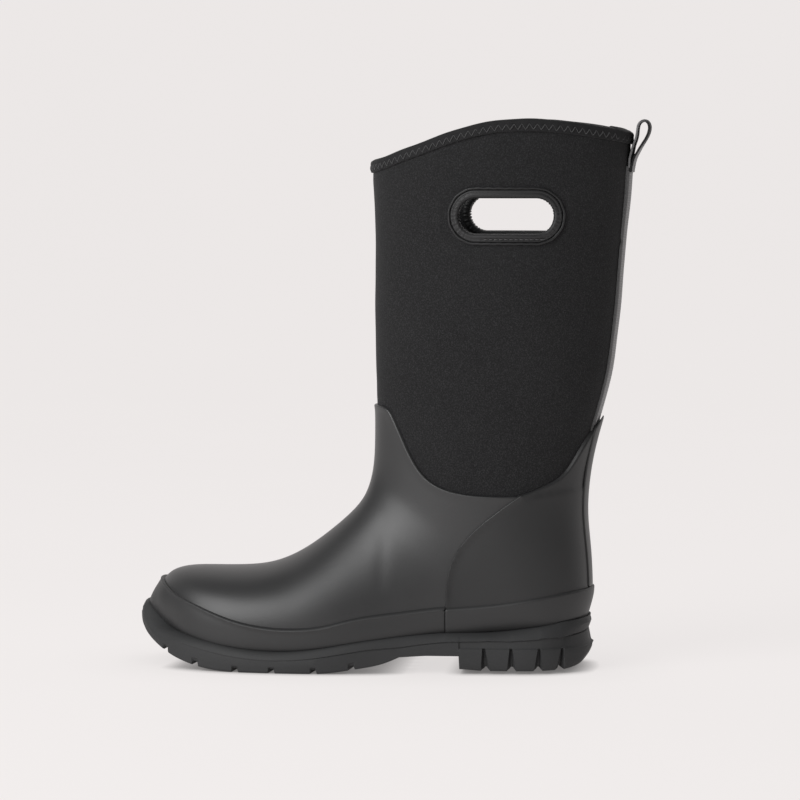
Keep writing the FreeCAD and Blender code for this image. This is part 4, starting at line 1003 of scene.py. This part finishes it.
s, cx, cz, nx, nz = slot_ring(420)
end = np.clip(np.abs(nx), 0, 1) ** 1.5
left = np.where(nx < 0, 1.0, 0.6)
gather = end * left * (np.sin(s * 2.5 + 0.9 * np.sin(s * 0.31)) + 0.6 * np.sin(s * 3.9 + 1.1)) / 1.6
scallop = end * np.abs(np.sin(s * 1.45 + 0.5 * np.sin(s * 0.23)))
ring = [(5.45, -0.05), (5.3, 0.30), (4.9, 0.95), (4.3, 1.42), (3.9, 1.38), (3.5, 1.30), (3.0, 1.55), (2.3, 1.72), (1.5, 1.60), (0.8, 1.20), (0.3, 0.50),
        (0.0, -0.60), (-0.12, -2.2), (-0.12, -3.8), (0.0, -5.2), (0.3, -6.3), (0.9, -7.1), (1.8, -7.55), (3.0, -7.6), (4.1, -7.3),
        (4.9, -6.7), (5.4, -6.05), (2.4, -6.03), (2.4, 0.0)]
for name, sign in (("lateral", -1), ("medial", 1)):
    rows = []
    for k, (e, h) in enumerate(ring):
        soft = 1.0 if 1 < k < 20 else 0.0
        ee = e + soft * gather * (0.42 if -1 < e < 3.2 else 0.1)
        lap = 0.35 * ease(0, 1.2, s - 57.0) * (1 - ease(4, 16, s - 57.0)) if soft and h > -1 else 0
        hh = h + soft * gather * 0.26 * (1 if h > -3 else -1) + lap
        if -6.5 < h < 0.2:
            ee = ee - 0.75 * scallop + 0.35 * end
        groove = -(0.35 + 0.30 * (nz < -0.9) * ((cx > -16) & (cx < 24))) * np.exp(-((e - 3.7) / 0.7) ** 2) if h > 0 and soft else 0
        x = 78.2 + cx + nx * (R_SLOT + ee)
        z = 297.4 + cz + nz * (R_SLOT + ee)
        rows.append(on_side(x, z, hh + groove, sign))
    v = np.array(rows)
    n, m = v.shape[:2]
    i, j = np.meshgrid(np.arange(n), np.arange(m), indexing="ij")
    i, j = i.ravel(), j.ravel()
    i2, j2 = (i + 1) % n, (j + 1) % m
    q = np.stack([i * m + j, i * m + j2, i2 * m + j2, i2 * m + j], 1)
    if sign > 0:
        q = q[:, ::-1]
    trim = piece("hand_slot_trim_" + name, v.reshape(-1, 3), q, M["trim"], smooth_angle=75)
    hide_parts("handle_trim_" + name)

    e = 6.35 + 0.12 * np.sin(s * 0.9)
    path = on_side(78.2 + cx + nx * (R_SLOT + e), 297.4 + cz + nz * (R_SLOT + e), np.full(len(s), 0.42), sign)
    away = on_side(78.2 + cx + nx * (R_SLOT + e), 297.4 + cz + nz * (R_SLOT + e), np.full(len(s), 1.42), sign) - path
    v, f = tube(path, 0.82, 10, closed=True, up=away)
    pipe = piece("hand_slot_piping_" + name, v, f, M["piping"], smooth_angle=75)
    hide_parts("handle_piping_" + name)

    parts = []
    for k in range(12):
        x = 78.2 - 14.0 + 3.3 * k + np.linspace(0, 2.3, 7)
        z = np.full(7, 297.4 - R_SLOT - 3.6)
        t = np.linspace(0, 1, 7)
        base = on_side(x, z, 1.05 + 0.62 * np.sin(math.pi * t) ** 0.6, sign)
        up = on_side(x, z, np.full(7, 2.2), sign) - on_side(x, z, np.full(7, 1.2), sign)
        parts.append(tube(base, 0.30, 7, up=up))
    v, f = joined(parts)
    st = piece("hand_slot_thread_" + name, v, f, M["thread_light"], smooth_angle=60)
    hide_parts("handle_stitching_" + name)

# ----------------------------------------------------------------- pull loop
# middle of the ribbon's near edge: x, z
NEAR_EDGE = smooth([(155.7, 328.4), (155.9, 333.1), (156.3, 335.7), (157.0, 338.3), (157.6, 340.9), (158.4, 343.5), (159.5, 346.1), (160.2, 348.7),
                    (160.6, 351.6), (160.9, 354.4), (161.6, 356.7), (163.0, 358.2), (165.3, 358.8), (167.3, 357.8), (168.3, 355.9), (168.5, 353.9),
                    (168.0, 351.3), (167.0, 348.7), (165.5, 346.1), (163.8, 343.5), (162.1, 340.9), (160.6, 338.3), (159.1, 335.7), (158.1, 333.1),
                    (157.5, 330.5), (157.0, 327.9), (156.6, 325.4)], 150)
N_LOOP = len(NEAR_EDGE)
W, T = 11.5, 0.82
top_k = int(np.argmax(NEAR_EDGE[:, 1]))
half = [(y, T) for y in np.linspace(-W + 0.5, W - 0.5, 19)] + [(W - 0.12, T * 0.72), (W, 0.0), (W - 0.12, -T * 0.72)]
cross = np.array(half + [(-y, -t) for y, t in half])


def wrap(z):
    """How far the ribbon bends round the leg at a height: 1 where it is sewn down."""
    return 0.10 + 0.38 * (1 - ease(333, 349, z))


def lane(k, y):
    """Middle of the ribbon's thickness at step k, y across it."""
    x, z = NEAR_EDGE[k]
    zz = min(z, 347.0)
    bend = back_x(y, zz, 0.0) - back_x(-11.1, zz, 0.0)
    x = x + wrap(z) * bend
    if z < 352:
        floor_x = back_x(y, zz, 0.15 + 1.3 * float(ease(341.0, 344.5, z))) + T
        if k > top_k:
            floor_x += 2 * T * float(1 - ease(338, 343, z)) * float(ease(326.6, 329.4, z)) + 1.35 * float(1 - ease(326.6, 329.4, z))
        x = max(x, floor_x)
    return x, z


lanes = np.array([[lane(k, y) for y in np.linspace(-W, W, 9)] for k in range(N_LOOP)])
for _ in range(6):
    lanes[1:-1, :, 0] = 0.25 * lanes[:-2, :, 0] + 0.5 * lanes[1:-1, :, 0] + 0.25 * lanes[2:, :, 0]
tan = np.gradient(lanes, axis=0)
tan /= np.linalg.norm(tan, axis=2)[:, :, None]
step_len = np.linalg.norm(np.diff(lanes[:, 4], axis=0), axis=1)
length = np.concatenate([[0], np.cumsum(step_len)])
rows, uvs = [], []
across = np.linspace(-W, W, 9)
for k in range(N_LOOP):
    px = np.interp(cross[:, 0], across, lanes[k, :, 0])
    pz = np.interp(cross[:, 0], across, lanes[k, :, 1])
    nx_, nz_ = np.interp(cross[:, 0], across, -tan[k, :, 1]), np.interp(cross[:, 0], across, tan[k, :, 0])
    edge = 1 - 0.15 * ease(8.6, 11.0, np.abs(cross[:, 0]))
    off = cross[:, 1] * edge + 0.08 * np.sin(cross[:, 0] * 0.55 + k * 0.06)
    rows.append(np.stack([px + nx_ * off, MID + cross[:, 0], pz + nz_ * off], 1))
    uvs.append(np.stack([cross[:, 0] * 0.001, np.full(len(cross), length[k] * 0.001)], 1))
v, uv = np.vstack(rows), np.vstack(uvs)
c = len(cross)
q = []
for k in range(N_LOOP - 1):
    for jj in range(c):
        j3 = (jj + 1) % c
        q.append((k * c + jj, (k + 1) * c + jj, (k + 1) * c + j3, k * c + j3))
q.append(tuple(range(c)))
q.append(tuple((N_LOOP - 1) * c + jj for jj in reversed(range(c))))
loop = piece("pull_loop_webbing", v, q, M["loop"], body=None, smooth_angle=60, uv=uv)
loop.data.materials.append(M["loop_in"])
loop.data.materials.append(M["loop_edge"])
index = []
for poly in loop.data.polygons:
    if poly.loop_total > 4:
        index.append(2)
        continue
    jj = poly.vertices[0] % c
    jj = min(set(vi % c for vi in poly.vertices), key=lambda a: (a + 3) % c)
    t_ = np.mean([cross[vi % c, 1] for vi in poly.vertices])
    y_ = np.mean([abs(cross[vi % c, 0]) for vi in poly.vertices])
    index.append(2 if y_ > W - 0.4 else (0 if t_ > 0 else 1))
loop.data.polygons.foreach_set("material_index", np.array(index, np.int32))
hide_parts("pull_loop")
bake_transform(loop)

parts = []
for k in range(34):
    y = MID - 9.9 + 19.8 * k / 33
    lean = 0.35 * (1 if k % 2 else -1)
    z = np.linspace(320.6, 323.4, 6) + 0.12 * math.sin(k * 1.7)
    t = np.linspace(0, 1, 6)
    x = np.array([back_x(y, zz, 1.4) for zz in z]) + 0.34 * np.sin(math.pi * t) ** 0.6 - 0.12
    path = np.stack([x, np.full(6, y) + lean * (t - 0.5), z], 1)
    parts.append(tube(path, 0.30, 6, up=np.tile([1.0, 0, 0], (6, 1))))
v, f = joined(parts)
tack = piece("loop_bar_tack_thread", v, f, M["tack"], smooth_angle=60)
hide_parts("loop_bar_tack")

# ------------------------------------------------------------------- footbed
def bed(name, top_of, thick_to, material, x0=-150.6, x1=121.4, count=150, crown=0.0):
    """Lofted cross-sections: a top line, and sides that follow the bootie's inside."""
    under = rows_at(np.linspace(0, LAST, 300), -7.1)
    low_fn = line_fn(under[np.argsort(under[:, 2])][:, [2, 3]])
    rows = []
    xs = x0 + (x1 - x0) * (0.5 - 0.5 * np.cos(np.pi * np.linspace(0, 1, count)))
    for x in xs:
        zt = float(top_of(x))
        zb = max(float(low_fn(x)) + 0.15, zt - thick_to)
        zb = min(zb, zt - 0.4)
        zs = np.array([zb + (zt - zb) * f for f in (0.02, 0.12, 0.3, 0.55, 0.8, 0.93, 1.0)])
        w, yc = side_y(np.full(7, x), zs, -7.15)
        w = np.nan_to_num(w, nan=2.0)
        w = np.maximum(w - np.array([0.35, 0.1, 0, 0, 0, 0.12, 0.5]), 1.0)
        yc = float(yc[-1])
        t = np.linspace(-1, 1, 33)
        dish = crown * (t**4) * ease(20, 90, x)
        topz = zt + dish - 0.25 * ease(0.96, 1.0, np.abs(t))
        right = [(yc + w[k], zs[k] + (dish[-1] - 0.25 if k == 6 else 0)) for k in (5, 4, 3, 2, 1, 0)]
        leftp = [(yc - w[k], zs[k]) for k in (0, 1, 2, 3, 4, 5)]
        section = [(x, yc + tt * w[6], zz) for tt, zz in zip(t, topz)] + [(x, a, b) for a, b in right]
        section += [(x, yc + tt * w[0], zs[0]) for tt in np.linspace(0.9, -0.9, 15)] + [(x, a, b) for a, b in leftp]
        rows.append(section)
    v = np.array(rows)
    n, m = v.shape[:2]
    i, j = np.meshgrid(np.arange(n - 1), np.arange(m), indexing="ij")
    i, j = i.ravel(), j.ravel()
    j2 = (j + 1) % m
    q = [tuple(r) for r in np.stack([i * m + j, (i + 1) * m + j, (i + 1) * m + j2, i * m + j2], 1)[:, ::-1].tolist()]
    q.append(tuple(range(m))[::-1])
    q.append(tuple((n - 1) * m + k for k in range(m)))
    return piece(name, v.reshape(-1, 3), q, material, "footbed", 50)


bed_top = fn(FOOTBED_TOP)
foam_bed = bed("footbed_foam", lambda x: bed_top(x) - 0.02, 40.0, M["bed"])
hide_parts("footbed")
cloth_bed = bed("footbed_top_cloth", lambda x: bed_top(x) + 0.9, 0.9, M["bed_cloth"], crown=0.0)
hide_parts("footbed_cloth")

# ------------------------------------------------------------------- outsole
edge_loop = smooth_loop(OUTLINE, 3000)
a, b = int(np.argmin(edge_loop[:, 0])), int(np.argmax(edge_loop[:, 0]))
if a < b:
    one, two = edge_loop[a:b + 1], np.vstack([edge_loop[b:], edge_loop[:a + 1]])[::-1]
else:
    one, two = np.vstack([edge_loop[a:], edge_loop[:b + 1]]), edge_loop[b:a + 1][::-1]
lat, med = (one, two) if one[len(one) // 2, 1] < 0 else (two, one)
X0, X1 = lat[0, 0], lat[-1, 0]

TREAD = [-147.7, -125.7, -98.2, -73.7, -46.0, -21.3]
HEEL = [(64.2, -1.2), (81.9, -0.3), (100.2, 0.6), (115.0, 1.5)]
keys_low, keys_top = [X0], [X0]
for x in TREAD:
    keys_low += [x - 2.3, x - 1.35, x + 1.35, x + 2.3]
    keys_top += [x - 2.3, x - 1.35, x + 1.35, x + 2.3]
keys_low += [47.8, 48.25]
keys_top += [47.8, 48.25]
for x, lean in HEEL:
    keys_low += [x - 3.3 - lean, x - 1.0 - lean, x + 1.0 - lean, x + 3.3 - lean]
    keys_top += [x - 1.15, x - 0.4, x + 0.4, x + 1.15]
keys_low.append(X1)
keys_top.append(X1)
steps = np.concatenate([[0], np.cumsum(np.linalg.norm(np.diff(lat, axis=0), axis=1))])
base = np.interp(np.linspace(0, steps[-1], 300), steps, lat[:, 0])
far = np.abs(base[:, None] - np.array(keys_low)[None]).min(1)
xs = np.unique(np.concatenate([base[far > 0.35], keys_low]))
xs_top = np.interp(xs, keys_low, keys_top)

under_z = np.concatenate([smooth(OUTSOLE_BOTTOM, 80), [(-102, 0), (-44.5, 0)], smooth(FOREFOOT_BACK, 60), [(9.5, 10.7), (26, 11.6), (47.8, 11.4), (48.25, 0), (114, 0)], smooth(HEEL_BACK, 60)])
low_z = line_fn(under_z[np.argsort(under_z[:, 0], kind="stable")])
high_z = fn(OUTSOLE_TOP)
drop_fn = line_fn([(-170, 7.0), (-140, 6.0), (-54.5, 5.8), (-8.4, 6.0), (10.1, 6.9), (39.7, 5.8), (69.6, 5.6), (81.9, 7.0), (105.7, 8.3), (128, 12.5), (134, 13.2)])


def mask(x, keys):
    """1 on a groove's floor, 0 outside its lips."""
    return np.interp(x, keys, [0.0, 1.0, 1.0, 0.0])


def tread_mask(x):
    return sum(mask(x, [g - 2.3, g - 1.35, g + 1.35, g + 2.3]) for g in TREAD)


def heel_mask(x):
    return sum(mask(x, [g - 3.3 - n_, g - 1.0 - n_, g + 1.0 - n_, g + 3.3 - n_]) for g, n_ in HEEL)


tm, hm = tread_mask(xs), heel_mask(xs)
body_z = low_z(xs)
lift = np.where(xs > 48, 1.7 + 1.1 * (1 - ease(48, 66, xs)) + 0.6 * ease(96, 116, xs), 0.0)
wall_low = body_z + 2.7 * tm + 2.6 * hm + lift
top_z = high_z(xs)
line_z = top_z - drop_fn(xs)
shelf = np.where(xs > 48, 16.3, body_z + 0.42 * (line_z - body_z))
shelf = np.clip(shelf, wall_low + 0.9, line_z - 0.8)
line_z = np.maximum(line_z, wall_low + 1.8)
toe = 1 - ease(-160, -138, xs)
rear = ease(112, 131, xs)
heel = ease(47.9, 48.2, xs)
arch = ease(2, 12, xs) * (1 - heel)
front_fade = ease(-80, -30, xs)

LEVELS = 17


def wall_profile(i, k):
    """(outset, z) of side-wall level k at row i, from the tread up."""
    z0, zs, zl, zt = wall_low[i], shelf[i], line_z[i], top_z[i]
    hb = heel[i] + 0.25 * arch[i]
    groove = 0.10 + 0.42 * max(front_fade[i], 0)
    r = 0.9 + 1.8 * toe[i] + 1.3 * heel[i] * (1 - rear[i])
    g = -3.0 * hm[i] * heel[i] - 0.8 * tm[i]
    lip = 0.9 + 2.6 * toe[i] + 2.2 * rear[i]
    rr = rear[i]
    table = [
        (-r + g, z0), (-0.30 * r + g, z0 + 0.30 * r), (0.0 + g, z0 + r),
        (0.0 + g, z0 + r + 0.33 * (zs - 0.9 - z0 - r)), (0.0 + g, z0 + r + 0.66 * (zs - 0.9 - z0 - r)), (-0.05 * hb + g, zs - 0.9),
        (-0.25 * hb + g * 0.6, zs - 0.25), (-0.95 * hb, zs + 0.35), (-1.25 * hb - 0.4 * rr, zs + 0.9),
        (-0.35 - 1.0 * hb - 1.9 * rr, zl - 0.55), (-0.35 - groove - 0.6 * hb - 2.6 * rr, zl), (-0.30 - 0.2 * hb - 2.7 * rr, zl + 0.65),
        (-0.10 - 1.6 * rr, zl + 1.6), (-0.05 - 1.5 * rr, 0.5 * (zl + zt) + 0.4), (-0.12 * lip - 1.6 * rr, zt - 0.75 * lip),
        (-0.45 * lip - 1.7 * rr, zt - 0.25 * lip), (-1.15 * lip - 1.8 * rr, zt)]
    e, z = table[k]
    return e, z


prof = np.array([[wall_profile(i, k) for k in range(LEVELS)] for i in range(len(xs))])
for k in range(1, LEVELS):
    prof[:, k, 1] = np.maximum(prof[:, k, 1], prof[:, k - 1, 1] + 0.02)


def wall(side):
    """Wall points, rows by levels, for one side of the sole."""
    out = np.empty((len(xs), LEVELS, 3))
    t = np.linspace(0, 1, LEVELS)
    d = np.gradient(side, axis=0)
    nrm = np.stack([d[:, 1], -d[:, 0]], 1)
    nrm /= np.linalg.norm(nrm, axis=1)[:, None]
    if (nrm[len(nrm) // 2] @ np.array([0, 1])) * side[len(side) // 2, 1] < 0:
        nrm = -nrm
    nrm[0], nrm[-1] = (-1, 0), (1, 0)
    for k in range(LEVELS):
        f = np.clip((prof[:, k, 1] - 0.0) / 15.5, 0, 1)
        x = np.where(xs > 48.3, xs * (1 - f) + xs_top * f, xs)
        y = np.interp(x, side[:, 0], side[:, 1])
        nx_ = np.interp(x, side[:, 0], nrm[:, 0])
        ny_ = np.interp(x, side[:, 0], nrm[:, 1])
        size = np.maximum(np.hypot(nx_, ny_), 1e-6)
        out[:, k, 0] = x + nx_ / size * prof[:, k, 0]
        out[:, k, 1] = y + ny_ / size * prof[:, k, 0]
        out[:, k, 2] = prof[:, k, 1]
        if k == 12:
            face = np.stack([nx_ / size, ny_ / size], 1)
    turn = ease(20, 60, xs)[:, None]
    aim = nrm[:len(xs)] * (1 - turn) + face * turn
    return out, aim / np.linalg.norm(aim, axis=1)[:, None]


(lw, ln), (mw, mn) = wall(lat), wall(med)
for w in (lw, mw):
    w[0, :, 1], w[-1, :, 1] = 9.4, 0.4
mw[0], mw[-1] = lw[0], lw[-1]

rubber_faces, rubber_points = [], []
for o in (band, heel_band):
    n0 = len(rubber_points)
    rubber_points += [v_.co * 1000 for v_ in o.data.vertices]
    rubber_faces += [tuple(n0 + k for k in poly.vertices) for poly in o.data.polygons]
RUBBER = BVHTree.FromPolygons(rubber_points, rubber_faces)
seat, seat_t = carrier(fine_rows(0, 21, 5), 3.0, 3.7, 30, 30, cap=True)
SEAT = tree_of(seat[:, 3:6], seat_t)


def hug(w, nrm):
    """Bends the upper wall in to meet the band, and gives the ledge inside it."""
    out = w[:, -1].copy()
    tops = np.empty((len(xs), 3))
    good = np.ones(len(xs), bool)
    for i in range(len(xs)):
        d = Vector((-nrm[i, 0], -nrm[i, 1], 0)).normalized()
        o = Vector(w[i, 12])
        z = float(top_z[i])
        hit = None
        for _ in range(4):
            start = Vector((o.x, o.y, z)) - d * 3
            hit = RUBBER.ray_cast(start, d, 22.0)[0] or SEAT.ray_cast(start, d, 22.0)[0]
            if hit is None:
                break
            z = float(high_z(hit.x))
        if hit is None:
            good[i] = False
            hit = Vector((o.x, o.y, z)) + d * 3
        tops[i] = hit
        tops[i, 2] -= 3.0 * ease(112, 131, tops[i, 0])
    for _ in range(3):
        tops[1:-1] = 0.25 * tops[:-2] + 0.5 * tops[1:-1] + 0.25 * tops[2:]
    for i in range(len(xs)):
        d = np.array([-nrm[i, 0], -nrm[i, 1], 0.0])
        d /= np.linalg.norm(d)
        lip = tops[i] - d * (0.5 + 0.3 * toe[i] + 0.3 * rear[i])
        o = w[i, 11].copy()
        o = w[i, 11].copy()
        rise = 0.0
        if toe[i] > 0:
            base_z = o[2]
            o[2] = max(wall_low[i] + 3.2, o[2] - 6.0 * toe[i])
        for k, t, lf, lg in zip(range(12, LEVELS), (0.26, 0.52, 0.76, 0.92, 1.0), (0.12, 0.32, 0.58, 0.82, 1.0), (0.27, 0.54, 0.80, 0.95, 1.0)):
            a = t * math.pi / 2
            f = toe[i] * (1 - math.cos(a)) + (1 - toe[i]) * lf
            g = toe[i] * math.sin(a) + (1 - toe[i]) * lg
            swell = 1.3 * rear[i] * math.sin(math.pi * min(lg * 1.02, 1.0)) ** 2
            w[i, k, 0] = o[0] + (lip[0] - o[0]) * f - d[0] * swell
            w[i, k, 1] = o[1] + (lip[1] - o[1]) * f - d[1] * swell
            w[i, k, 2] = o[2] + (lip[2] - o[2]) * g
        if toe[i] > 0:
            w[i, 11, 2] = o[2]
            for k in range(6, 11):
                w[i, k, 2] = min(w[i, k, 2], o[2] - 0.15 * (11 - k))
            for k in range(10, 3, -1):
                w[i, k, 2] = min(w[i, k, 2], w[i, k + 1, 2] - 0.05)
        out[i] = tops[i] + d * 0.5 - np.array([0, 0, 0.25])
    return out


ll, ml = hug(lw, ln), hug(mw, mn)
for e in (0, -1):
    lw[e] = mw[e] = (lw[e] + mw[e]) / 2
    ll[e] = ml[e] = (ll[e] + ml[e]) / 2
centre_rows = rows_at(np.linspace(0, LAST, 400), 3.85)
cup = line_fn(centre_rows[np.argsort(centre_rows[:, 2])][:, [2, 3]])

cols = np.array([-1, -0.985, -0.94, -0.86, -0.76, -0.66, -0.56, -0.46, -0.385, -0.365, -0.275, -0.255, -0.17, -0.08, 0.0,
                 0.08, 0.17, 0.27, 0.29, 0.38, 0.40, 0.48, 0.56, 0.66, 0.76, 0.86, 0.94, 0.985, 1])


def tread_height(i, u):
    x = xs[i]
    g = 4.0 * tm[i] + 3.8 * hm[i]
    chan = np.interp(abs(u + 0.32), [0.045, 0.065], [1.0, 0.0]) + np.interp(abs(u - 0.335), [0.045, 0.065], [1.0, 0.0])
    if -132 < x < -12:
        g = max(g, 3.2 * chan)
    if 52 < x < 118:
        g = max(g, 2.6 * float(np.interp(abs(u), [0.07, 0.1], [1.0, 0.0])))
    if 10 < x < 44:
        g = max(g, 1.3 * max(chan, float(np.interp(abs(u), [0.05, 0.08], [1.0, 0.0]))))
    g += lift[i] * float(ease(0.25, 1.0, abs(u)))
    z = body_z[i] + g
    rim = abs(u)
    if rim > 0.93:
        z = max(z, wall_low[i] + 0.0) if rim < 1 else wall_low[i]
        g2 = (g - lift[i]) * np.interp(rim, [0.93, 0.985, 1], [1, 0.8, 0.66]) + lift[i]
        z = body_z[i] + g2 if rim < 1 else wall_low[i]
    return z


verts, faces = [], []


def put(points):
    start = len(verts)
    verts.extend([tuple(p) for p in points])
    return start


rows_idx = []
for i in range(len(xs)):
    row = []
    for k in range(LEVELS):
        row.append(tuple(lw[i, k]))
    cap_pts = [tuple(ll[i])]
    cz_ = min(float(cup(xs[i])) - 0.3, top_z[i] - 0.6)
    cz_ = max(cz_, body_z[i] + 4.6) if xs[i] > -150 and xs[i] < 126 else max(cz_, body_z[i] + 1.0)
    for t in np.linspace(0.08, 0.92, 9):
        p = ll[i] * (1 - t) + ml[i] * t
        cap_pts.append((p[0], p[1], min(cz_, top_z[i] - 0.3)))
    cap_pts.append(tuple(ml[i]))
    up = row + cap_pts + [tuple(mw[i, k]) for k in reversed(range(LEVELS))]
    low = []
    for u in cols[::-1][1:-1]:
        p = lw[i, 0] * (1 - u) / 2 + mw[i, 0] * (1 + u) / 2
        swing = 5.5 * (1 - abs(u)) * float(ease(-160, -140, xs[i]) * (1 - ease(-30, -8, xs[i])))
        low.append((p[0] + swing, p[1], float(tread_height(i, u))))
    rows_idx.append(put(up + low))
    per = len(up) + len(low)
for i in range(len(xs) - 1):
    a, b = rows_idx[i], rows_idx[i + 1]
    for k in range(per):
        k2 = (k + 1) % per
        faces.append((a + k, a + k2, b + k2, b + k))
v, f = weld(np.array(verts), faces, 1e-3)
sole = piece("outsole_lugged", v, f, M["outsole"], smooth_angle=32)
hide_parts("outsole")

# -------------------------------------------------------- inner CAD pieces
for node, mat in (("toe_puff", "puff"), ("heel_stiffener", "puff"), ("insole_board", "board"), ("shank", "steel"),
                  ("midsole_foam", "foam"), ("heel_core", "core")):
    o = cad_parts[node]
    o.data.materials.clear()
    o.data.materials.append(M[mat])

# -------------------------------------------- what each sheet was cut to, m
for o, flat, held, rests in (
        (lining, (0.36, 0.62), "stretched", [bootie]),
        (seam, (0.014, 0.265), "stretched", [lining]),
        (binding, (0.0255, 0.335), "folded", [bootie]),
        (tape, (0.0224, 0.165), "stretched", [bootie]),
        (loop, (0.023, 0.0685), "folded", ["boot"]),
        (cloth_bed, (0.094, 0.272), "laid", [foam_bed])):
    area = flat_area(o)
    share = area / (flat[0] * flat[1])
    if share > 1.0:
        flat = (flat[0], area / flat[0])
    elif share < 0.3:
        flat = (flat[0], area / 0.3 / flat[0])

# --------------------------------------------------------- floor, light, view
def stage_look(name, glow, white):
    g = Graph(name)
    out = g.t.nodes["Material Output"]
    c = g.ramp(g.noise(3.0, 2.0), (0.3, tuple(x * 0.995 for x in white)), (0.7, white))
    g.finish(g.mix(0.5, c, (0.0, 0.0, 0.0)), 0.95, specular=0.0)
    g.bsdf.inputs["Base Color"].links[0].from_node.inputs[0].default_value = 0.88
    # The pale floor's even glow is multiplied by two ambient-occlusion terms. This paints the contact shadow close
    # under the boot and a fainter shadow round it.
    near = g.add("ShaderNodeAmbientOcclusion", Distance=0.0115)
    near.samples = 16
    wide = g.add("ShaderNodeAmbientOcclusion", Distance=0.07)
    wide.samples = 8
    painted_contact_shadow = g.math("MULTIPLY", g.math("ADD", g.math("MULTIPLY", near.outputs["AO"], 0.80), 0.20), g.math("ADD", g.math("MULTIPLY", wide.outputs["AO"], 0.12), 0.88))
    em = g.add("ShaderNodeEmission", Strength=glow)
    g.link(g.mix(1.0, c, g.ramp(painted_contact_shadow, (0.0, (0.0, 0.0, 0.0)), (1.0, (1.0, 1.0, 1.0))), "MULTIPLY"), em.inputs["Color"])
    add = g.add("ShaderNodeAddShader")
    g.link(g.bsdf.outputs[0], add.inputs[0])
    g.link(em.outputs[0], add.inputs[1])
    g.link(add.outputs[0], out.inputs["Surface"])
    return g.mat


PALE = (0.855, 0.823, 0.815)
mesh = bpy.data.meshes.new("studio_sweep")
pts, quads = [], []
ys = [-6.0, -3.0, -1.0, 0.0, 1.0, 2.2] + [2.2 + 1.2 * math.sin(a) for a in np.linspace(0.12, math.pi / 2, 12)] + [3.4, 3.4]
zs = [0.0] * 6 + [1.2 - 1.2 * math.cos(a) for a in np.linspace(0.12, math.pi / 2, 12)] + [3.0, 6.0]
for y, z in zip(ys, zs):
    pts += [(-6, y, z - 0.0002), (6, y, z - 0.0002)]
for k in range(len(ys) - 1):
    quads.append((2 * k, 2 * k + 1, 2 * k + 3, 2 * k + 2))
mesh.from_pydata(pts, [], quads)
mesh.polygons.foreach_set("use_smooth", np.ones(len(quads), bool))
floor = bpy.data.objects.new("studio_sweep", mesh)
bpy.context.scene.collection.objects.link(floor)
mesh.materials.append(stage_look("studio_pale_painted_shadow", 0.93, PALE))
floor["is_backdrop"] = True

scene = bpy.context.scene
world = bpy.data.worlds.new("soft_room")
scene.world = world
world.use_nodes = True
world.node_tree.nodes["Background"].inputs[0].default_value = (1.0, 0.985, 0.98, 1)
world.node_tree.nodes["Background"].inputs[1].default_value = 0.08


def area_light(name, place, aim, size, power, size_y=None):
    d = bpy.data.lights.new(name, "AREA")
    d.energy = power
    d.shape = "RECTANGLE" if size_y else "SQUARE"
    d.size = size
    if size_y:
        d.size_y = size_y
    o = bpy.data.objects.new(name, d)
    scene.collection.objects.link(o)
    o.location = place
    o.rotation_mode = "QUATERNION"
    o.rotation_quaternion = (Vector(aim) - Vector(place)).to_track_quat("-Z", "Y")
    return o


area_light("key_soft", (-1.20, -1.48, 1.20), (0, 0, 0.10), 1.35, 46.5, 1.9)
area_light("overhead_soft", (0.35, 0.9, 1.9), (0, 0, 0.1), 1.2, 4.0, 1.2)
area_light("rear_soft", (2.0, 0.5, 0.7), (0.1, 0, 0.2), 0.9, 2.6, 1.2)

cam = bpy.data.cameras.new("photo_view")
cam.lens = 170.45
cam.sensor_width = 36.0
cam.clip_start, cam.clip_end = 0.05, 60.0
cam_o = bpy.data.objects.new("photo_view", cam)
scene.collection.objects.link(cam_o)
target = Vector((0.0046, 0.0004, 0.175))
az, el = math.radians(6.2), math.radians(4.0)
back = Vector((math.sin(az) * math.cos(el), -math.cos(az) * math.cos(el), math.sin(el)))
cam_o.location = target + back * 2.5
cam_o.rotation_mode = "QUATERNION"
cam_o.rotation_quaternion = (-back).to_track_quat("-Z", "Y")
scene.camera = cam_o
scene.view_settings.view_transform = "Standard"
scene.view_settings.look = "None"

low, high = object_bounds()
